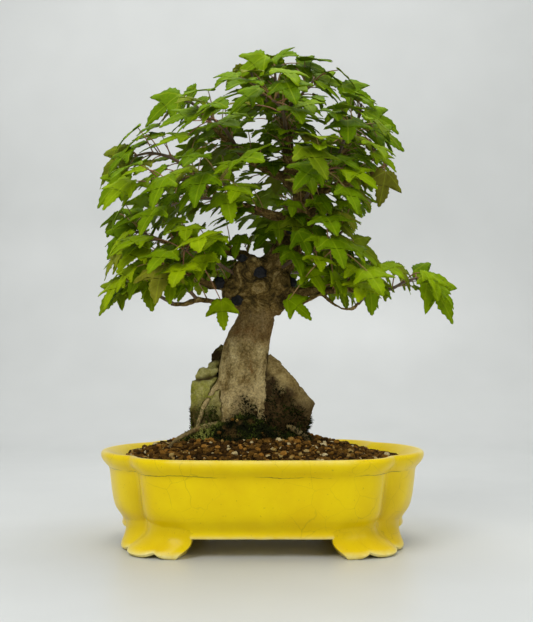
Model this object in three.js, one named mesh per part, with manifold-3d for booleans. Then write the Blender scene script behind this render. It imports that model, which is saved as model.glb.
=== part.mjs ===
// A three-lobed maple bonsai grown over a rock, in a lobed yellow pot on four cloud feet.
// Millimetres, +Z up. The front of the pot faces -Y and the tree leans to +X.
// Everything is laid out round the pot's centre at ground level, and the finished group is
// moved so that its origin is the bottom centre of its bounding box.
import * as THREE from 'three';
import { mergeVertices } from 'three/addons/utils/BufferGeometryUtils.js';
import { ConvexGeometry } from 'three/addons/geometries/ConvexGeometry.js';
import Module from 'manifold-3d';

const wasm = await Module();
wasm.setup();

// ---- driving dimensions ----
const POT_HALF_LENGTH = 150; // rim, along X
const POT_HALF_DEPTH = 118; // rim, along Y
const POT_HEIGHT = 84; // ground to rim
const CREASE_TURNS = 5; // the lobes meet this many steps of the outline from the X axis
const OUTLINE_STEPS = 54; // steps round the pot
const END_LOBE_RADIUS = 106; // plan radius of the two end lobes
const LONG_LOBE_POWER = 4; // how square the front and back lobes are
const CREASE_DEPTH = 3; // extra notch where two lobes meet
const CREASE_SPREAD = 2; // steps each side of the crease that the notch fades over
const BRACE_POINT = 1.5; // small outward point in the middle of the long lobes
const BRACE_HALF = 12; // half its width
const LOBED_BEYOND = 0.8; // share of the half length past which sections take the rim's outline
const SKIRT_HEIGHT = 16; // lower edge of the skirt between the feet
const FLOOR_TOP = 28; // inside floor of the pot
const DRAIN_RADIUS = 10;
const DRAIN_OFFSET = 62; // drain holes, each side of the middle
const SCREEN_SIZE = 32;
const SCREEN_THICKNESS = 1.4;
const SCREEN_SLOT = 7; // slots in the screens, and the bars between them
const MERGE_DISTANCE = 1e-3; // corners nearer than this are one
const GAP = 0.35; // clearance between pieces that touch
const WALL_INSET = 20.5; // the pot's inner wall, in from the rim outline, at soil level
const SOIL_EDGE = 77; // height of the soil at the wall
const SOIL_PEAK = 107; // height of the soil at the tree
const SOIL_ROUGHNESS = 1.5;
const BLADE_THICKNESS = 0.8;
const PETIOLE_RADIUS = [0.7, 0.36]; // at the twig and inside the blade
const PETIOLE_REACH = 0.2; // share of the way from the blade's base edge to its heart
const CANOPY_CENTRE = [12, 0, 305];
const LEAF_MIN = 29;
const LEAF_MAX = 43;
const LIGHT_LEAN = 0.3; // leaves in front of LIGHT_LIMIT also lean to the light at the front
const LIGHT_LIMIT = 45;
const LEAF_CLEARANCE = 8; // between the probe points of two leaves
const WOOD_CLEARANCE = 4; // from a leaf's probe points to the surface of a branch
const LEAF_TRIES = 60;
const EYE = [3.7, -941, 166.4]; // point in front that the canopy's outline is seen from
// Outline of the canopy from the eye, drawn on the plane Y = 0: [height, left, right].
const CANOPY_OUTLINE = [
  [203, -157, 184],
  [242, -153, 178],
  [262, -149, 108],
  [281, -148, 86],
  [311, -158, 107],
  [333, -156, 118],
  [350, -146, 129],
  [370, -136, 133],
  [390, -113, 121],
  [405, -90, 108],
  [431, -50, 84],
  [445, -14, 66],
  [459, 2, 26],
];
// The canopy's lower edge from the same eye, that leaves set by rule stay above: [X, height].
const CANOPY_HEM = [
  [-158, 211],
  [-133, 215],
  [-108, 221],
  [-88, 219],
  [-56, 228],
  [-40, 226],
  [30, 221],
  [52, 223],
  [80, 211],
  [105, 211],
  [123, 224],
  [145, 227],
  [160, 221],
  [185, 203],
];
// The front of the crown, which leaves set by rule don't hang over: left, right, top.
const CROWN_WINDOW = [-40, 30, 256];

const vec = (x, y, z) => new THREE.Vector3(x, y, z);
const UP = vec(0, 0, 1);

// Repeatable random numbers from 0 to 1: a linear congruential generator on 32 bits.
function randomFrom(seed) {
  let state = seed >>> 0;
  return () => {
    state = (Math.imul(state, 1664525) + 1013904223) >>> 0;
    return state / 4294967296;
  };
}

// ---- solids ----

// A closed geometry as a solid, with shared corners and its faces pointing out.
function solid(geometry) {
  const bare = geometry.clone();
  for (const name of Object.keys(bare.attributes)) {
    if (name !== 'position') bare.deleteAttribute(name);
  }
  const merged = mergeVertices(bare, MERGE_DISTANCE);
  const place = merged.attributes.position.array;
  const corners = Array.from(merged.index.array);
  const faces = [];
  let volume = 0;
  for (let i = 0; i < corners.length; i += 3) {
    const [a, b, c] = corners.slice(i, i + 3);
    if (a === b || b === c || c === a) continue;
    faces.push([a, b, c]);
    const [p, q, r] = [a, b, c].map((k) => vec().fromArray(place, 3 * k));
    volume += p.dot(q.cross(r));
  }
  if (volume < 0) faces.forEach((face) => face.reverse());
  const mesh = new wasm.Mesh({
    numProp: 3,
    vertProperties: new Float32Array(place),
    triVerts: new Uint32Array(faces.flat()),
  });
  mesh.merge();
  return new wasm.Manifold(mesh);
}

const fuse = (solids) => solids.reduce((whole, next) => whole.add(next));

// The largest connected body of a solid; loose scraps of a cut are dropped.
function largest(whole) {
  const bodies = whole.decompose();
  return bodies.reduce((best, next) => (next.volume() > best.volume() ? next : best));
}

function toGeometry(whole) {
  const mesh = whole.getMesh();
  const geometry = new THREE.BufferGeometry();
  geometry.setAttribute('position', new THREE.BufferAttribute(mesh.vertProperties, 3));
  geometry.setIndex(new THREE.BufferAttribute(mesh.triVerts, 1));
  geometry.computeVertexNormals();
  return geometry;
}

// A closed skin through rings of points, each with the same number of points, ends capped.
function loft(rings) {
  const count = rings[0].length;
  const points = rings.flat();
  const faces = [];
  for (let i = 0; i + 1 < rings.length; i += 1) {
    for (let j = 0; j < count; j += 1) {
      const next = (j + 1) % count;
      const [a, b] = [i * count + j, i * count + next];
      const [c, d] = [a + count, b + count];
      faces.push(a, b, c, b, d, c);
    }
  }
  const cap = (ring, first, flip) => {
    const normal = vec(0, 0, 0);
    ring.forEach((p, k) => normal.add(p.clone().cross(ring[(k + 1) % count])));
    normal.normalize();
    const side = ring[1].clone().sub(ring[0]).normalize();
    const other = normal.clone().cross(side);
    const flat = ring.map((p) => new THREE.Vector2(p.dot(side), p.dot(other)));
    for (const [a, b, c] of THREE.ShapeUtils.triangulateShape(flat, [])) {
      faces.push(...(flip ? [c, b, a] : [a, b, c]).map((k) => first + k));
    }
  };
  cap(rings[0], 0, true);
  cap(rings.at(-1), count * (rings.length - 1), false);
  const geometry = new THREE.BufferGeometry().setFromPoints(points);
  geometry.setIndex(faces);
  return geometry;
}

// A tapering round limb along a curve through the given points, from radius first to last.
function limb(points, first, last, sides, steps, grow = 0) {
  const path = points.map((p) => vec(...p));
  if (grow > 0) {
    const head = path[1].clone().sub(path[0]).setLength(grow);
    const tail = path.at(-1).clone().sub(path.at(-2)).setLength(grow);
    path[0].sub(head);
    path.at(-1).add(tail);
  }
  const curve = new THREE.CatmullRomCurve3(path, false, 'centripetal');
  const frames = curve.computeFrenetFrames(steps, false);
  const rings = frames.normals.map((normal, i) => {
    const radius = first + ((last - first) * i) / steps + grow;
    const centre = curve.getPointAt(i / steps);
    return Array.from({ length: sides }, (_, j) => {
      const angle = (2 * Math.PI * j) / sides;
      return centre
        .clone()
        .addScaledVector(normal, radius * Math.cos(angle))
        .addScaledVector(frames.binormals[i], radius * Math.sin(angle));
    });
  });
  return solid(loft(rings));
}

// ---- pot ----

const creaseAngle = (2 * Math.PI * CREASE_TURNS) / OUTLINE_STEPS;
const endLobeCentre = POT_HALF_LENGTH - END_LOBE_RADIUS;
const endLobeRim = (angle) => {
  const side = endLobeCentre * Math.sin(angle);
  return endLobeCentre * Math.cos(angle) + Math.sqrt(END_LOBE_RADIUS ** 2 - side ** 2);
};
const creaseX = endLobeRim(creaseAngle) * Math.cos(creaseAngle);
const creaseY = endLobeRim(creaseAngle) * Math.sin(creaseAngle);
// The long lobes are a super-ellipse that meets the end lobes at the creases.
const longLobeHalf =
  creaseX / (1 - (creaseY / POT_HALF_DEPTH) ** LONG_LOBE_POWER) ** (1 / LONG_LOBE_POWER);

// The rim's radius in the direction of an angle, the same in all four quarters.
function rimRadius(angle) {
  const quarter = Math.abs(Math.asin(Math.sin(angle)));
  const stepsOff = Math.abs(quarter - creaseAngle) / (creaseAngle / CREASE_TURNS);
  const nearCrease = 1 - stepsOff / CREASE_SPREAD;
  const notch = CREASE_DEPTH * Math.max(0, nearCrease);
  if (quarter < creaseAngle) return endLobeRim(quarter) - notch;
  const across = (Math.abs(Math.cos(quarter)) / longLobeHalf) ** LONG_LOBE_POWER;
  const along = (Math.sin(quarter) / POT_HALF_DEPTH) ** LONG_LOBE_POWER;
  const radius = (across + along) ** (-1 / LONG_LOBE_POWER);
  const off = Math.abs(Math.cos(quarter)) * radius;
  return radius - notch + BRACE_POINT * Math.max(0, 1 - off / BRACE_HALF);
}

// Turns a profile of [inset from the rim outline, height] points into a lobed solid.
function lobed(profile) {
  const points = profile.map(([inset, z]) => new THREE.Vector2(POT_HALF_LENGTH - inset, z));
  const geometry = new THREE.LatheGeometry(points, OUTLINE_STEPS);
  geometry.rotateX(Math.PI / 2);
  const place = geometry.attributes.position;
  for (let i = 0; i < place.count; i += 1) {
    const [x, y] = [place.getX(i), place.getY(i)];
    const radius = Math.hypot(x, y);
    if (radius < MERGE_DISTANCE) continue;
    const angle = Math.atan2(y, x);
    const share = Math.min(1, radius / (LOBED_BEYOND * POT_HALF_LENGTH));
    const wanted = radius + (rimRadius(angle) - POT_HALF_LENGTH) * share;
    place.setXY(i, wanted * Math.cos(angle), wanted * Math.sin(angle));
  }
  return geometry;
}

const onAxis = POT_HALF_LENGTH;
const WALL_FOOT_INSET = 28; // from the rim's outline to where the wall meets the floor inside
const BODY_PROFILE = [
  [onAxis, SKIRT_HEIGHT + 3.5],
  [26, SKIRT_HEIGHT + 3.5],
  [23, SKIRT_HEIGHT],
  [19.3, SKIRT_HEIGHT],
  [20.6, 22],
  [13.4, 33],
  [9.6, 52],
  [8.4, 66],
  [5, 71.5],
  [1.2, 76.5],
  [0, 80.5],
  [2, POT_HEIGHT],
  [7, POT_HEIGHT - 0.5],
  [WALL_INSET - 1, 74],
  [WALL_FOOT_INSET, FLOOR_TOP],
  [onAxis, FLOOR_TOP],
];

// Cloud foot, in the quarter where X and Y are positive: the scalloped ground edge runs
// through these points, from the front round the crease to the end of the pot.
const FOOT_CORNERS = [
  [60, 99],
  [91, 99],
  [114, 69],
  [123, 31],
];
const FOOT_BULGES = [6, 10, 6.5];
const FOOT_LAYERS = [
  // [height, share of the flare, how far the ends draw in]
  [0, 0.84, 0.42],
  [2.5, 1, 0.33],
  [7, 0.74, 0.15],
  [13, 0.34, 0.02],
  [24, -0.06, 0],
];
const FOOT_TOP_INSET = 21;
const FOOT_INNER_INSET = 37;
const FOOT_END_TURN = 0.08; // the inner face ends this angle short of the outer one at the front
const POINTS_PER_SCALLOP = 5;

function scallopPoint(turn) {
  const lobe = Math.min(FOOT_CORNERS.length - 2, Math.floor(turn));
  const share = turn - lobe;
  const [x0, y0] = FOOT_CORNERS[lobe];
  const [x1, y1] = FOOT_CORNERS[lobe + 1];
  const length = Math.hypot(x1 - x0, y1 - y0);
  const bulge = FOOT_BULGES[lobe] * Math.max(0, 4 * share * (1 - share)) ** 0.6;
  const x = x0 + (x1 - x0) * share + ((y0 - y1) / length) * bulge;
  const y = y0 + (y1 - y0) * share + ((x1 - x0) / length) * bulge;
  return [x, y];
}

function foot(mirrorX, mirrorY) {
  const lobes = FOOT_CORNERS.length - 1;
  const last = lobes * POINTS_PER_SCALLOP;
  const rings = FOOT_LAYERS.map(([height, flare, drawIn]) => {
    const ring = [];
    for (let i = 0; i <= last; i += 1) {
      let turn = i / POINTS_PER_SCALLOP;
      if (turn < 1) turn = drawIn + (1 - drawIn) * turn;
      if (turn > lobes - 1) turn = lobes - 1 + (1 - drawIn) * (turn - lobes + 1);
      const [x, y] = scallopPoint(turn);
      const angle = Math.atan2(y, x);
      const body = rimRadius(angle) - FOOT_TOP_INSET;
      const bodyX = body * Math.cos(angle);
      const bodyY = body * Math.sin(angle);
      ring.push(vec(bodyX + (x - bodyX) * flare, bodyY + (y - bodyY) * flare, height));
    }
    const [from, to] = [ring.at(-1), ring[0]].map((p) => Math.atan2(p.y, p.x));
    for (let i = 0; i <= 5; i += 1) {
      const angle = from + ((to - FOOT_END_TURN - from) * i) / 5;
      const inner = rimRadius(angle) - FOOT_INNER_INSET;
      ring.push(vec(inner * Math.cos(angle), inner * Math.sin(angle), height));
    }
    return ring.map((p) => vec(p.x * mirrorX, p.y * mirrorY, p.z));
  });
  return solid(loft(rings));
}

function cylinder(radius, from, to, x, y, sides) {
  const geometry = new THREE.CylinderGeometry(radius, radius, to - from, sides);
  geometry.rotateX(Math.PI / 2);
  geometry.translate(x, y, (from + to) / 2);
  return solid(geometry);
}

function box(width, depth, from, to, x, y) {
  const geometry = new THREE.BoxGeometry(width, depth, to - from);
  geometry.translate(x, y, (from + to) / 2);
  return solid(geometry);
}

function pot() {
  let body = solid(lobed(BODY_PROFILE));
  for (const mirrorX of [-1, 1]) {
    for (const mirrorY of [-1, 1]) body = body.add(foot(mirrorX, mirrorY));
    const x = mirrorX * DRAIN_OFFSET;
    body = body.subtract(cylinder(DRAIN_RADIUS, 0, FLOOR_TOP + 5, x, 0, 12));
  }
  return body;
}

function drainScreen(x, grow = 0) {
  const size = SCREEN_SIZE + 2 * grow;
  const bottom = FLOOR_TOP + GAP - grow;
  let plate = box(size, size, bottom, bottom + SCREEN_THICKNESS + 2 * grow, x, 0);
  if (grow > 0) return plate;
  for (const i of [-1, 1]) {
    for (const j of [-1, 1]) {
      const [slotX, slotY] = [x + SCREEN_SLOT * i, SCREEN_SLOT * j];
      const slot = box(SCREEN_SLOT, SCREEN_SLOT, FLOOR_TOP - 2, FLOOR_TOP + 5, slotX, slotY);
      plate = plate.subtract(slot);
    }
  }
  return plate;
}

// ---- wood ----

// Trunk sections: [height, middle X, half width X, middle Y, half depth Y].
const TRUNK_SECTIONS = [
  [108, -15, 16, 0, 13],
  [124, -15.5, 19, 0, 15],
  [134, -15.5, 22.5, 0, 18],
  [144, -16.4, 24.6, 0, 19.5],
  [154, -17.2, 25, 0, 20],
  [163, -17.5, 23.6, 0, 19.5],
  [172, -16.9, 22.3, 0, 18.5],
  [182, -14.8, 22, 0, 18],
  [193, -11, 20.4, 0, 17.5],
  [202, -7.2, 18, 0, 17],
  [213, -5, 16.5, 0, 17],
  [226, -4, 17, 0, 17],
];
const TRUNK_SIDES = 14;
const TRUNK_FLUTES = [
  // [flutes round the trunk, share of the radius, turn at the base]
  [3, 0.045, 0.6],
  [5, 0.035, 2.1],
];

function trunkColumn(grow) {
  const rings = TRUNK_SECTIONS.map(([z, x, halfX, y, halfY], i) => {
    const rise = (i === 0 ? -grow : 0) + (i === TRUNK_SECTIONS.length - 1 ? grow : 0);
    return Array.from({ length: TRUNK_SIDES }, (_, j) => {
      const angle = (2 * Math.PI * j) / TRUNK_SIDES;
      let share = 1;
      for (const [count, depth, turn] of TRUNK_FLUTES) {
        share += depth * Math.sin(count * angle + turn + i * 0.25);
      }
      const px = x + (halfX * share + grow) * Math.cos(angle);
      const py = y + (halfY * share + grow) * Math.sin(angle);
      return vec(px, py, z + rise);
    });
  });
  return solid(loft(rings));
}

// Callus lumps that crown the trunk: [x, y, z, radius X, radius Y, radius Z].
const CALLUS = [
  [-6, 0, 234, 28, 23, 23],
  [-25, -4, 229, 13, 13, 14],
  [15, -3, 236, 15, 16, 18],
  [-12, -8, 250, 17, 14, 14],
  [11, 3, 254, 17, 15, 14],
  [10, -9, 217, 11, 10, 10],
  [32, 0, 333, 15, 11, 10],
];

function callus([x, y, z, radiusX, radiusY, radiusZ], grow) {
  const geometry = new THREE.SphereGeometry(1, 8, 5);
  geometry.rotateX(Math.PI / 2);
  geometry.scale(radiusX + grow, radiusY + grow, radiusZ + grow);
  geometry.translate(x, y, z);
  return solid(geometry);
}

// Limbs of the wood: points from thick end to thin end, with the radius at both ends.
const LIMBS = [
  {
    from: 16,
    to: 10.5,
    points: [[2, 0, 236], [14, 0, 256], [30, -2, 281], [38, -1, 300], [40, 0, 318], [35, 2, 335]],
  },
  {
    from: 9,
    to: 3,
    points: [[33, 2, 330], [26, 2, 352], [23, 2, 373], [21, 2, 391], [16, 0, 402]],
  },
  {
    from: 6,
    to: 2.3,
    points: [
      [-10, -4, 222], [-28, -10, 217], [-42, -14, 216], [-48, -16, 222], [-60, -18, 222],
      [-74, -20, 217], [-85, -20, 217],
    ],
  },
  {
    from: 7,
    to: 2,
    points: [
      [-18, 0, 236], [-44, -2, 237], [-58, -4, 236], [-64, -4, 243], [-71, -2, 253],
      [-82, 0, 268],
    ],
  },
  {
    from: 7,
    to: 2,
    points: [
      [2, 4, 254], [-26, 10, 268], [-50, 14, 276], [-77, 18, 275], [-95, 15, 277],
      [-106, 10, 284],
    ],
  },
  {
    from: 6,
    to: 2,
    points: [
      [33, -2, 296], [4, -5, 302], [-21, -6, 310], [-45, -8, 320], [-60, -8, 334],
      [-72, -8, 349],
    ],
  },
  {
    from: 6,
    to: 2,
    points: [[30, 4, 335], [6, 8, 344], [-12, 8, 355], [-27, 8, 367], [-46, 6, 385], [-59, 4, 403]],
  },
  {
    from: 6,
    to: 2,
    points: [
      [36, -4, 326], [54, -10, 322], [70, -14, 327], [93, -16, 334], [104, -16, 340],
      [116, -16, 347],
    ],
  },
  {
    from: 6,
    to: 2,
    points: [
      [34, 4, 335], [50, 10, 342], [63, 14, 346], [74, 18, 358], [83, 20, 376], [89, 18, 393],
    ],
  },
  {
    from: 6,
    to: 2,
    points: [[32, -4, 288], [47, -12, 286], [58, -16, 278], [64, -18, 275]],
  },
  {
    from: 6.5,
    to: 2,
    points: [
      [4, -4, 236], [20, -12, 230], [34, -16, 228], [50, -19, 230], [64, -20, 230],
      [87, -20, 231], [96, -20, 228], [108, -20, 228],
    ],
  },
  {
    from: 2.6,
    to: 1.7,
    points: [[64, -20, 230], [76, -14, 235], [82, -8, 242], [89, -2, 249]],
  },
  {
    from: 2.6,
    to: 1.8,
    points: [
      [52, -19, 230], [57, -23, 224], [63, -27, 218], [75, -32, 212], [82, -36, 213],
      [88, -39, 219],
    ],
  },
  {
    from: 4.2,
    to: 2.2,
    points: [[6, -8, 214], [14, -18, 215], [34, -27, 218], [47, -24, 224], [56, -20, 230]],
  },
];

// Roots that clasp the rock and run down into the soil.
const ROOTS = [
  {
    from: 14,
    to: 4.5,
    points: [[-23, -5, 160], [-28, -9, 138], [-33, -13, 118], [-36, -15, 99], [-38, -16, 80]],
  },
  {
    from: 12.5,
    to: 4,
    points: [[-7, -4, 158], [-3, -9, 137], [-1, -12, 118], [1, -15, 99], [3, -16, 80]],
  },
  {
    from: 12,
    to: 4.5,
    points: [[-26, 6, 152], [-37, 15, 126], [-43, 21, 101], [-46, 23, 80]],
  },
  {
    from: 11,
    to: 4,
    points: [[-4, 8, 152], [6, 21, 126], [11, 30, 101], [13, 33, 80]],
  },
  {
    from: 4,
    to: 1.8,
    points: [[-36, -6, 150], [-48, -11, 134], [-55, -14, 121], [-60, -16, 105], [-62, -17, 88]],
  },
  {
    from: 4,
    to: 2,
    points: [[-34, -15, 108], [-52, -22, 106], [-68, -27, 100], [-80, -29, 93], [-88, -30, 84]],
  },
  {
    from: 5,
    to: 2.5,
    points: [[-1, -13, 113], [16, -20, 108], [32, -23, 102], [42, -25, 94], [47, -26, 84]],
  },
];
const LIMB_SIDES = 5;
const ROOT_SIDES = 5;

function wood(grow) {
  const pieces = [trunkColumn(grow)];
  CALLUS.forEach((lump) => pieces.push(callus(lump, grow)));
  for (const { from, to, points } of LIMBS) {
    const sides = from > 8 ? LIMB_SIDES + 3 : LIMB_SIDES;
    pieces.push(limb(points, from, to, sides, points.length - 1, grow));
  }
  for (const { from, to, points } of ROOTS) {
    pieces.push(limb(points, from, to, ROOT_SIDES, points.length - 1, grow));
  }
  return fuse(pieces);
}

// ---- rock ----

// The rock's three shoulders, each the hull of its corner points, grown together.
const ROCK_SHOULDERS = [
  [
    [-70, -10, 80], [-70, -10, 120], [-66, -8, 146], [-58, -4, 160], [-60, 14, 156],
    [-69, 16, 118], [-66, 16, 80], [-30, -22, 80], [-38, -22, 118], [-24, -4, 160], [-20, 24, 80],
  ],
  [
    [-52, 0, 152], [-51, 2, 166], [-47, 4, 176], [-39, 6, 182], [-42, 18, 176],
    [-52, 20, 120], [-20, 2, 176], [-18, 24, 160], [-16, 26, 100],
  ],
  [
    [8, -14, 174], [18, -16, 164], [38, -16, 140], [50, -12, 126], [46, -10, 112], [30, -14, 80],
    [10, -28, 80], [14, -29, 118], [4, 20, 172], [26, 22, 150], [47, 14, 122], [30, 18, 80],
    [-24, 26, 80], [-22, 22, 150], [-18, -12, 80],
  ],
];

const CORNER_GROWTH = 1.8; // corners move further than faces when a hull grows

function rock(grow) {
  const shoulders = ROCK_SHOULDERS.map((corners) => {
    const middle = corners.reduce((sum, p) => sum.add(vec(...p)), vec(0, 0, 0));
    middle.divideScalar(corners.length);
    const points = corners.map((p) => {
      const out = vec(...p).sub(middle);
      return vec(...p).addScaledVector(out.normalize(), grow * CORNER_GROWTH);
    });
    return solid(new ConvexGeometry(points));
  });
  return fuse(shoulders);
}

// ---- soil and moss ----

const TREE_FOOT = [-10, 0]; // the middle of the soil mound
const MOUND_REACH = [118, 92]; // from the middle of the mound along X and Y
const MOUND_FULLNESS = 0.85; // below 1 the mound's flanks bulge
const SOIL_RINGS = [0, 9, 24, 46, 78]; // insets of the surface's rings from its edge
const SOIL_TOP_MARK = 200; // points of the surface start at this height, then drop to it

function soilHeight(x, y) {
  const away = Math.hypot((x - TREE_FOOT[0]) / MOUND_REACH[0], (y - TREE_FOOT[1]) / MOUND_REACH[1]);
  const share = Math.max(0, 1 - away);
  return SOIL_EDGE + (SOIL_PEAK - SOIL_EDGE) * share ** MOUND_FULLNESS;
}

function soil() {
  const random = randomFrom(77);
  const inset = WALL_INSET + GAP;
  const profile = [
    [onAxis, FLOOR_TOP + GAP],
    [WALL_FOOT_INSET + GAP * 2, FLOOR_TOP + GAP],
    ...SOIL_RINGS.map((step) => [inset + 0.3 + step, SOIL_TOP_MARK]),
    [onAxis, SOIL_TOP_MARK],
  ];
  const geometry = lobed(profile);
  const place = geometry.attributes.position;
  const seen = new Map();
  for (let i = 0; i < place.count; i += 1) {
    if (place.getZ(i) < SOIL_TOP_MARK - 1) continue;
    const [x, y] = [place.getX(i), place.getY(i)];
    const key = `${Math.round(x * 100)},${Math.round(y * 100)}`;
    if (!seen.has(key)) seen.set(key, random());
    const edge = Math.hypot(x, y) > rimRadius(Math.atan2(y, x)) - inset - 1;
    const bump = edge ? -1 : 2 * seen.get(key) - 1;
    place.setZ(i, soilHeight(x, y) + SOIL_ROUGHNESS * bump);
  }
  return solid(geometry);
}

// The moss cushion: a low ring of lumps round the foot of the tree, as rings of points that
// share their angle: [share of the outer radius, share of the height].
const MOSS_RINGS = [
  [1.02, -0.5],
  [1, 0.05],
  [0.86, 0.45],
  [0.62, 0.8],
  [0.34, 1],
];
const MOSS_SIDES = 18;
const MOSS_BASE = 90;
const MOSS_ROOT = 8; // how far the cushion's underside lies below its base, in the soil
const MOSS_HEIGHT = 25;
const MOSS_REACH = { left: 62, right: 56, side: 42 };
const MOSS_WAVE = 0.16; // how far the edge wanders, as a share of its reach

// The cushion reaches further on the left, where it runs out over the thin dark root.
function moss(grow = 0) {
  const random = randomFrom(5);
  const lumps = Array.from({ length: MOSS_SIDES }, () => [random() - 0.5, random() - 0.5]);
  const rings = MOSS_RINGS.map(([reach, height], k) => {
    const wave = lumps.map(([out, up], j) => {
      const angle = (2 * Math.PI * j) / MOSS_SIDES;
      const reachX = Math.cos(angle) < 0 ? MOSS_REACH.left : MOSS_REACH.right;
      const radiusX = reachX * (1 + MOSS_WAVE * out);
      const radiusY = MOSS_REACH.side * (1 + MOSS_WAVE * out);
      const shift = k % 2 === 0 ? up : out;
      const x = TREE_FOOT[0] + (radiusX * reach + grow) * Math.cos(angle);
      const y = TREE_FOOT[1] + (radiusY * reach + grow) * Math.sin(angle);
      return vec(x, y, MOSS_BASE + MOSS_HEIGHT * height * (1 + 0.3 * shift));
    });
    if (k === 0) wave.forEach((point) => point.setZ(MOSS_BASE - MOSS_ROOT - grow));
    return wave;
  });
  return solid(loft(rings));
}

// ---- wound seals ----

// Black paste domes on old cuts: [x, z, facing x, y, z, radius]. Each sits where a line from
// far out on its facing side meets the wood.
const SEALS = [
  [-3, 244, 0, -1, 0.1, 7.6],
  [-21, 222, -0.2, -1, 0, 6.6],
  [17, 218, 0.3, -1, 0, 5.4],
  [-36, 238, -0.7, -1, 0, 6.6],
  [23, 238, 0.5, -1, 0, 5.6],
  [31, 287, -0.2, -1, 0, 7.4],
  [-12, 253, -0.4, -1, 0.4, 5],
  [40, 328, 0.3, -1, 0, 4],
];
const SEAL_HEIGHT = 3.4;

function woundSeal([x, z, nx, ny, nz, radius], woodMesh) {
  const facing = vec(nx, ny, nz).normalize();
  const far = vec(x, 0, z).addScaledVector(facing, POT_HALF_LENGTH);
  const ray = new THREE.Raycaster(far, facing.clone().negate());
  const seat = ray.intersectObject(woodMesh)[0].point;
  const geometry = new THREE.SphereGeometry(1, 7, 4);
  geometry.scale(radius, SEAL_HEIGHT, radius);
  const turn = new THREE.Quaternion().setFromUnitVectors(vec(0, 1, 0), facing);
  geometry.applyQuaternion(turn);
  geometry.translate(seat.x, seat.y, seat.z);
  return solid(geometry);
}

// ---- leaves ----

// Half of the leaf outline in units of its length: X across, Y along the midrib.
const LEAF_EDGE = [
  [0.18, -0.025],
  [0.35, 0.15],
  [0.56, 0.51],
  [0.17, 0.44],
  [0.2, 0.64],
];
const LEAF_HEART = [0, 0.4]; // where the folds of the blade meet
const LEAF_FOLD = 0.2;
const LEAF_ARCH = 0.2;
const LEAF_DROOP = 0.34;
// Points that stand for the blade when two leaves are kept apart.
const LEAF_PROBES = [
  [0, 0.05], [0, 0.27], [0, 0.5], [0, 0.72], [0, 0.95],
  [0.2, 0.06], [0.2, 0.3], [0.4, 0.28], [0.5, 0.44], [0.18, 0.58],
  [-0.2, 0.06], [-0.2, 0.3], [-0.4, 0.28], [-0.5, 0.44], [-0.18, 0.58],
];

const leafRise = (x, y) => LEAF_FOLD * Math.abs(x) - LEAF_ARCH * y * y - LEAF_DROOP * x * x;

// A leaf is { base, along, normal, length }; this places a point of its blade.
function leafPoint(leaf, x, y, lift) {
  const across = leaf.along.clone().cross(leaf.normal);
  return leaf.base
    .clone()
    .addScaledVector(across, x * leaf.length)
    .addScaledVector(leaf.along, y * leaf.length)
    .addScaledVector(leaf.normal, leafRise(x, y) * leaf.length + lift);
}

function blade(leaf) {
  const left = LEAF_EDGE.map(([x, y]) => [-x, y]).reverse();
  const outline = [...LEAF_EDGE, [0, 1], ...left];
  const points = [...outline, LEAF_HEART];
  const heart = outline.length;
  const skins = [BLADE_THICKNESS / 2, -BLADE_THICKNESS / 2];
  const places = skins.flatMap((lift) => points.map(([x, y]) => leafPoint(leaf, x, y, lift)));
  const below = points.length;
  const index = [];
  for (let i = 0; i < outline.length; i += 1) {
    const next = (i + 1) % outline.length;
    index.push(i, next, heart, next + below, i + below, heart + below);
    index.push(next, i, i + below, next, i + below, next + below);
  }
  const geometry = new THREE.BufferGeometry().setFromPoints(places);
  geometry.setIndex(index);
  return solid(geometry);
}

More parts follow.
